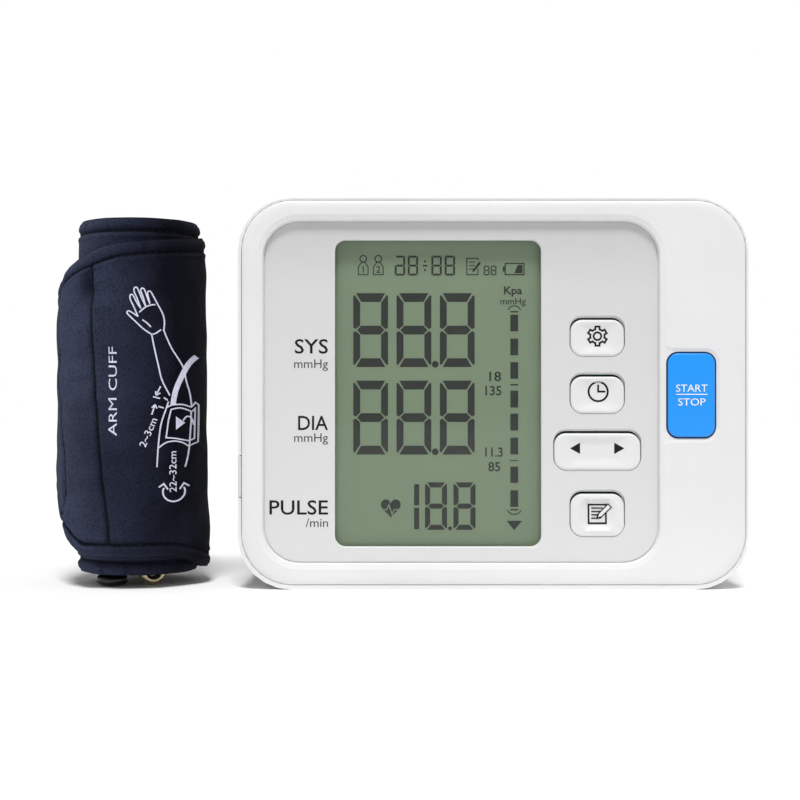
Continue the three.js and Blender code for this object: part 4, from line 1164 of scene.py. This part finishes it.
def binding(name, path, thick_out=0.12, thick_in=0.05, steps=700):
    """Tape folded over an edge. path(s) gives (turn, z, direction into the cloth in z)."""
    rings, flat = [], []
    section = [(0.0, 0.3), (-0.35, 0.75), (-0.45, 1.5), (-0.4, 3.0), (-0.25, EDGE_SEAM)]
    for i in range(steps + 1):
        turn, z, way = path(i / steps)
        out = outward(turn)
        ring = []
        ripple = 0.16 * noise.noise(Vector((arc_at(turn) / 4.5, z / 40, 1.0)))
        for inward, up in section:
            ring.append(roll_point(turn, 0, z) + out * (relief(turn, z + way * up) + thick_out + inward * 0.4 + ripple)
                        + Vector((0, 0, way * up)))
        for inward, up in reversed(section):
            ring.append(roll_point(turn, PLY, z) - out * (thick_in + inward * 0.4) + Vector((0, 0, way * up)))
        rings.append(ring if way > 0 else list(reversed(ring)))
        flat.append(arc_at(turn) * MM)
    made = bare(name, *loft(rings))
    count = len(rings[0])
    add_uv(made, "tape", lambda vertex: (flat[vertex // count], vertex % count * 0.0009))
    dress(made, BINDING, "cuff", 70)


# (name, edge, direction into the cloth in z)
HEMS = (("top", 1, -1), ("bottom", 0, 1))
for hem, edge, way in HEMS:
    binding(f"cuff_binding_{hem}", lambda s: (TURNS * s, edges(TURNS * s)[edge] - way * 0.5, way))


def stitches(name, path, length, pitch=2.7, stitch=1.9, radius=0.17, lift=0.1):
    """A row of thread stitches. path(distance) gives (turn, z)."""
    points, faces = [], []
    sides = 6
    for n in range(int(length / pitch)):
        ends = [path(n * pitch + share * stitch) for share in (0, 0.25, 0.75, 1)]
        line = [outer_point(turn, z) + outward(turn) * (lift + bow)
                for (turn, z), bow in zip(ends, (-0.25, 0.05, 0.05, -0.25))]
        along = (line[-1] - line[0]).normalized()
        out = outward(ends[0][0])
        side = along.cross(out).normalized()
        start = len(points)
        for p, r in zip(line, (0.5, 1, 1, 0.5)):
            for k in range(sides):
                a = 2 * math.pi * k / sides
                points.append(p + side * math.cos(a) * radius * r + out * math.sin(a) * radius * r)
        for i in range(3):
            for k in range(sides):
                a, b = start + i * sides + k, start + i * sides + (k + 1) % sides
                faces.append((a, b, b + sides, a + sides))
        faces.append(tuple(reversed(range(start, start + sides))))
        faces.append(tuple(range(start + 3 * sides, start + 4 * sides)))
    made = bare(name, points, faces)
    places = [(v.co.x + v.co.y, v.co.z) for v in made.data.vertices]
    add_uv(made, "thread", lambda vertex: places[vertex])
    dress(made, THREAD, "cuff", 70)


def hem_row(edge, way):
    """Path of the stitching along a hem, for stitches()."""
    def path(distance):
        turn = turn_of(distance + 12)
        return turn, edges(turn)[edge] + way * EDGE_SEAM

    return path


for hem, edge, way in HEMS:
    stitches(f"cuff_stitch_{hem}", hem_row(edge, way), 300)
END_LOW = edges(turn_of(14))[0] + EDGE_SEAM
END_HIGH = edges(turn_of(12))[1] - EDGE_SEAM
stitches("cuff_stitch_end", lambda d: (turn_of(end_seam(END_LOW + d)), END_LOW + d), END_HIGH - END_LOW)
stitches("cuff_stitch_pocket", lambda d: (turn_of(cross_seam(15 + d)), 15 + d), 89)


# ---------------------------------------------------------------- prints on the cuff

CLOTH_TREE = BVHTree.FromObject(outer_cloth, bpy.context.evaluated_depsgraph_get())


def on_cuff(x, z):
    hit = CLOTH_TREE.ray_cast(Vector((x * MM, -0.1, z * MM)), Vector((0, 1, 0)))[0]
    return hit.y / MM if hit else ROLL_Y


words = Art().text("ARM CUFF", -122.4, 50.4, 2.7, 28.8, angle=90)
words.text("22~32cm", -104.1, 31.8, 2.05, 13.4, angle=90, bold=0.008)
words.text("2~3cm", -113.3, 46.5, 2.2, 9.8, angle=68, bold=0.008)
words.lay("cuff_print_words", on_cuff, CUFF_PRINT, "cuff", 0.12, 0.9)

ARM_LINE = 0.44
WRIST_LEFT, WRIST_RIGHT = (-111.5, 83.4), (-107.8, 84.8)
guide = Art()
for kind, points in (
    # open hand: thumb, four fingers and the outer side of the palm
    ("curve", [WRIST_LEFT, (-114.1, 85.2), (-117.0, 88.0), (-118.9, 89.9), (-119.1, 90.6), (-118.5, 90.9),
               (-117.2, 90.2), (-115.7, 89.1)]),
    ("curve", [(-115.7, 89.1), (-117.0, 92.3), (-118.1, 94.7), (-118.2, 95.9), (-117.8, 96.3), (-117.2, 95.9),
               (-116.1, 93.8), (-114.8, 91.7)]),
    ("curve", [(-114.8, 91.7), (-115.8, 94.6), (-116.9, 97.2), (-116.8, 98.4), (-116.2, 98.6), (-115.7, 98.0),
               (-114.5, 95.0), (-113.3, 92.5)]),
    ("curve", [(-113.3, 92.5), (-114.0, 95.2), (-114.8, 97.4), (-114.6, 98.2), (-114.1, 98.3), (-113.6, 97.8),
               (-112.8, 95.4), (-112.0, 93.3)]),
    ("curve", [(-112.0, 93.3), (-112.4, 95.3), (-112.7, 96.8), (-112.3, 97.4), (-111.7, 97.2), (-110.8, 95.6),
               (-109.5, 93.0), (-108.1, 90.1), (-107.6, 87.4), WRIST_RIGHT]),
    # creases of the palm and the wrist
    ("curve", [(-115.3, 90.5), (-113.8, 91.9), (-112.1, 92.8), (-110.3, 93.1)]),
    ("curve", [(-114.4, 88.1), (-113.1, 87.2), (-111.7, 85.8)]),
    ("curve", [(-111.2, 83.4), (-110.0, 83.9), (-108.6, 85.0)]),
    # forearm
    ("curve", [WRIST_LEFT, (-110.5, 78.3), (-109.4, 73.2), (-108.3, 68.5), (-106.0, 63.5)]),
    ("curve", [WRIST_RIGHT, (-105.5, 79.0), (-102.3, 73.2), (-101.3, 68.5), (-100.3, 64.4), (-99.8, 59.9)]),
    # upper arm
    ("curve", [(-106.4, 61.5), (-107.0, 59.4), (-108.7, 53.5), (-109.4, 46.7), (-109.8, 40.1)]),
    ("curve", [(-100.5, 46.7), (-101.0, 43.1), (-101.7, 39.9)]),
    # the cuff on the arm, with its overlapping end
    ("curve", [(-106.9, 59.6), (-105.1, 60.4), (-102.3, 60.5), (-99.8, 59.6)]),
    ("curve", [(-105.6, 58.9), (-102.9, 59.4), (-100.0, 58.3)]),
    ("line", [(-99.8, 59.7), (-98.8, 61.2), (-98.0, 60.4), (-98.3, 48.0), (-100.5, 46.9)]),
    ("line", [(-99.7, 58.2), (-98.9, 59.2), (-99.2, 49.2), (-100.5, 48.5)]),
    ("line", [(-100.0, 58.3), (-100.0, 54.9), (-100.5, 46.7)]),
    ("line", [(-105.6, 58.9), (-106.4, 55.3), (-107.1, 49.7), (-104.2, 49.4), (-100.5, 48.5)]),
    ("curve", [(-109.4, 46.3), (-107.0, 48.1), (-104.2, 48.5), (-102.0, 47.8), (-100.5, 46.5)]),
    ("polygon", [(-104.2, 56.6), (-104.2, 52.2), (-101.6, 54.5)]),
    ("curve", [(-102.2, 55.2), (-101.3, 56.5), (-100.3, 56.4), (-99.6, 55.3), (-99.3, 53.7)]),
):
    if kind == "polygon":
        guide.polygon(points)
    else:
        (guide.curve if kind == "curve" else guide.line)(points, ARM_LINE)
# marks of the distance from the elbow
for ends in (((-108.7, 66.5), (-110.1, 63.5)), ((-110.2, 64.9), (-110.1, 63.5)), ((-110.1, 63.5), (-108.8, 64.3)),
             ((-111.0, 63.1), (-108.9, 62.5)), ((-107.8, 62.8), (-106.6, 61.9)), ((-109.4, 59.9), (-107.8, 59.4)),
             ((-111.4, 57.2), (-110.4, 60.5)), ((-111.4, 59.5), (-110.4, 60.5)), ((-110.4, 60.5), (-109.8, 59.2))):
    guide.line(ends, ARM_LINE)
# double arrow round the arm's girth
GIRTH = (-104.9, 31.9)
guide.arc(*GIRTH, 3.2, 0.5, -205, 25, 20)
for side in (-1, 1):
    x, z = GIRTH[0] + side * 2.9, GIRTH[1] + 2.7
    guide.line([(x - side * 1.2, z - 1.9), (x, z), (x + side * 1.5, z - 1.1)], 0.5)
guide.lay("cuff_print_guide", on_cuff, CUFF_PRINT, "cuff", 0.12, 0.7)
hose_mark = Art().curve([(-98.6, 76.5), (-100.5, 74.2), (-102.2, 70.6), (-104.2, 65.4), (-105.1, 60.4)], 1.6)
hose_mark.lay("cuff_print_hose", on_cuff, CUFF_PRINT, "cuff", 0.14, 0.9)


# ---------------------------------------------------------------- ring and elbow of the cuff


def ring_wire(wire=1.5, turn=math.radians(32), sides=20):
    """The flat metal loop at the cuff's lower edge."""
    low, high = box_mm("cuff_ring")
    centre = (low + high) / 2
    reach = 3.5
    path = []
    for middle, start in ((low.z + wire + reach, 180), (high.z - wire - reach, 0)):
        for step in range(25):
            a = math.radians(start + 180 * step / 24)
            path.append((reach * math.cos(a), middle + reach * math.sin(a), math.cos(a), math.sin(a)))
    along = Vector((math.cos(turn), math.sin(turn), 0))
    across = Vector((-math.sin(turn), math.cos(turn), 0))
    rings = []
    for u, z, out_u, out_z in path:
        base = Vector((centre.x, centre.y, z)) + along * u
        normal = along * out_u + Vector((0, 0, out_z))
        angles = [2 * math.pi * k / sides for k in range(sides)]
        rings.append([base + (normal * math.cos(a) + across * math.sin(a)) * wire for a in angles])
    points, faces = loft(rings + [rings[0]], closed=False)
    count = len(rings) * sides
    faces = [tuple(i % count for i in face) for face in faces]
    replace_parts(piece("cuff_ring_wire", points[:count], faces, RING_METAL, "cuff", 60), "cuff_ring")


ring_wire()


def turned_z(x, y, profile, sides=40):
    return [[(x + r * math.cos(2 * math.pi * k / sides), y + r * math.sin(2 * math.pi * k / sides), z)
             for k in range(sides)] for r, z in profile]


def elbow():
    low, high = box_mm("cuff_elbow")
    radius = 5.3
    x, y = low.x + radius, low.y + radius
    profile = [(0.3, 4.1), (3.6, 4.0), (4.6, 3.6), (5.15, 2.9), (5.3, 2.1), (5.1, 1.3), (4.5, 0.6), (3.6, 0.15),
               (3.2, 0.0), (0.3, 0.0)]
    head = bare("head", *loft(turned_z(x, y, profile)))
    stub = bare("stub", *loft(turned_z(x + 2.3, y + 3, [(2.2, 3.0), (2.2, high.z - 0.4), (1.9, high.z)])))
    for part in (head, stub):
        mesh = bmesh.new()
        mesh.from_mesh(part.data)
        bmesh.ops.recalc_face_normals(mesh, faces=mesh.faces)
        mesh.to_mesh(part.data)
        mesh.free()
    carve(head, [stub], "UNION")
    head.name = "cuff_elbow_moulding"
    dress(head, GLOSS_BLACK, "cuff", 50)
    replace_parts(head, "cuff_elbow")


elbow()


# ---------------------------------------------------------------- the remaining CAD nodes

def smoothing(limit):
    """A group of geometry nodes that shades faces smooth across every edge flatter than the limit."""
    tree = bpy.data.node_groups.new("smooth by angle", "GeometryNodeTree")
    for way in ("INPUT", "OUTPUT"):
        tree.interface.new_socket("Geometry", in_out=way, socket_type="NodeSocketGeometry")
    group = Nodes(tree)
    angle = group.node("GeometryNodeInputMeshEdgeAngle").outputs["Unsigned Angle"]
    gentle = group.math("LESS_THAN", angle, math.radians(limit))
    shape = group.node("NodeGroupInput").outputs["Geometry"]
    for domain, inputs in (("FACE", {}), ("EDGE", {"Shade Smooth": gentle})):
        inputs["Geometry"] = shape
        shape = group.node("GeometryNodeSetShadeSmooth", inputs, domain=domain).outputs["Geometry"]
    group.node("NodeGroupOutput", {"Geometry": shape})
    return tree


EDGE_ANGLE = 32                    # sharper edges than this, in degrees, stay edges
SMOOTHING = smoothing(EDGE_ANGLE)
for name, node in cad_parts.items():
    if node.hide_render:
        continue
    slot = node.data.materials[0].name.split(".")[0]
    for index in range(len(node.data.materials)):
        node.data.materials[index] = NODE_MATERIALS[slot]
    node.modifiers.new("joined faces", "WELD").merge_threshold = 0.000002
    node.modifiers.new("smooth faces", "NODES").node_group = SMOOTHING
    if name == "rear_cover":       # its wide flat faces keep their own shading
        node.modifiers.new("flat faces", "WEIGHTED_NORMAL").keep_sharp = True
        continue
    edge = node.modifiers.new("soft edges", "BEVEL")
    edge.width = 0.00025
    edge.segments = 2
    edge.limit_method = "ANGLE"
    edge.angle_limit = math.radians(EDGE_ANGLE)
    edge.harden_normals = True


# ---------------------------------------------------------------- studio


def backdrop(tint):
    r = Recipe("pale floor", "stage")
    r.put("Base Color", r.blend(r.noise(3, 3), scaled(tint, 0.99), tint, 0.3, 0.7))
    r.put("Roughness", 0.9)
    r.put("Specular IOR Level", 0.1)
    return r.material


bpy.ops.mesh.primitive_plane_add(size=6, location=(0, 0, 0))
floor = bpy.context.object
floor.name = "floor"
floor.data.materials.append(backdrop(colour(250, 250, 250)))

# The surroundings look plain white; as a light they are faint, and stronger from both sides.
world = bpy.data.worlds.new("studio")
bpy.context.scene.world = world
world.use_nodes = True
sky = Nodes(world.node_tree)
sideways = sky.axis("X", sky.node("ShaderNodeTexCoord").outputs["Generated"])
faint = sky.tree.nodes["Background"]
sky.feed(faint.inputs["Strength"], sky.between(sky.math("ABSOLUTE", sideways), 0.18, 0.62))
faint.inputs["Color"].default_value = (1, 1, 1, 1)
plain = sky.node("ShaderNodeBackground", {"Color": (1, 1, 1, 1)})
seen = sky.node("ShaderNodeLightPath").outputs["Is Camera Ray"]
choice = sky.node("ShaderNodeMixShader", {"Fac": seen, 1: faint.outputs["Background"], 2: plain.outputs["Background"]})
sky.feed(sky.tree.nodes["World Output"].inputs["Surface"], choice.outputs["Shader"])


# A broad distant light from above and in front.
lamp = bpy.data.lights.new("overhead", "SUN")
lamp.energy = 2.66
lamp.angle = math.radians(16)
overhead = placed("overhead", lamp)
overhead.rotation_euler = Vector((0.0, -0.416, 0.908)).to_track_quat("Z", "Y").to_euler()

CAMERA_DISTANCE = 456
camera = bpy.data.cameras.new("camera")
camera.sensor_width = 36
camera.lens = 62.9
holder = placed("camera", camera)
holder.location = (-0.0306, (FRONT_Y - CAMERA_DISTANCE) * MM, 0.062)
holder.rotation_euler = (math.radians(90), 0, 0)
camera.clip_start, camera.clip_end = 0.05, 20
bpy.context.scene.camera = holder
bpy.context.scene.view_settings.view_transform = "Standard"
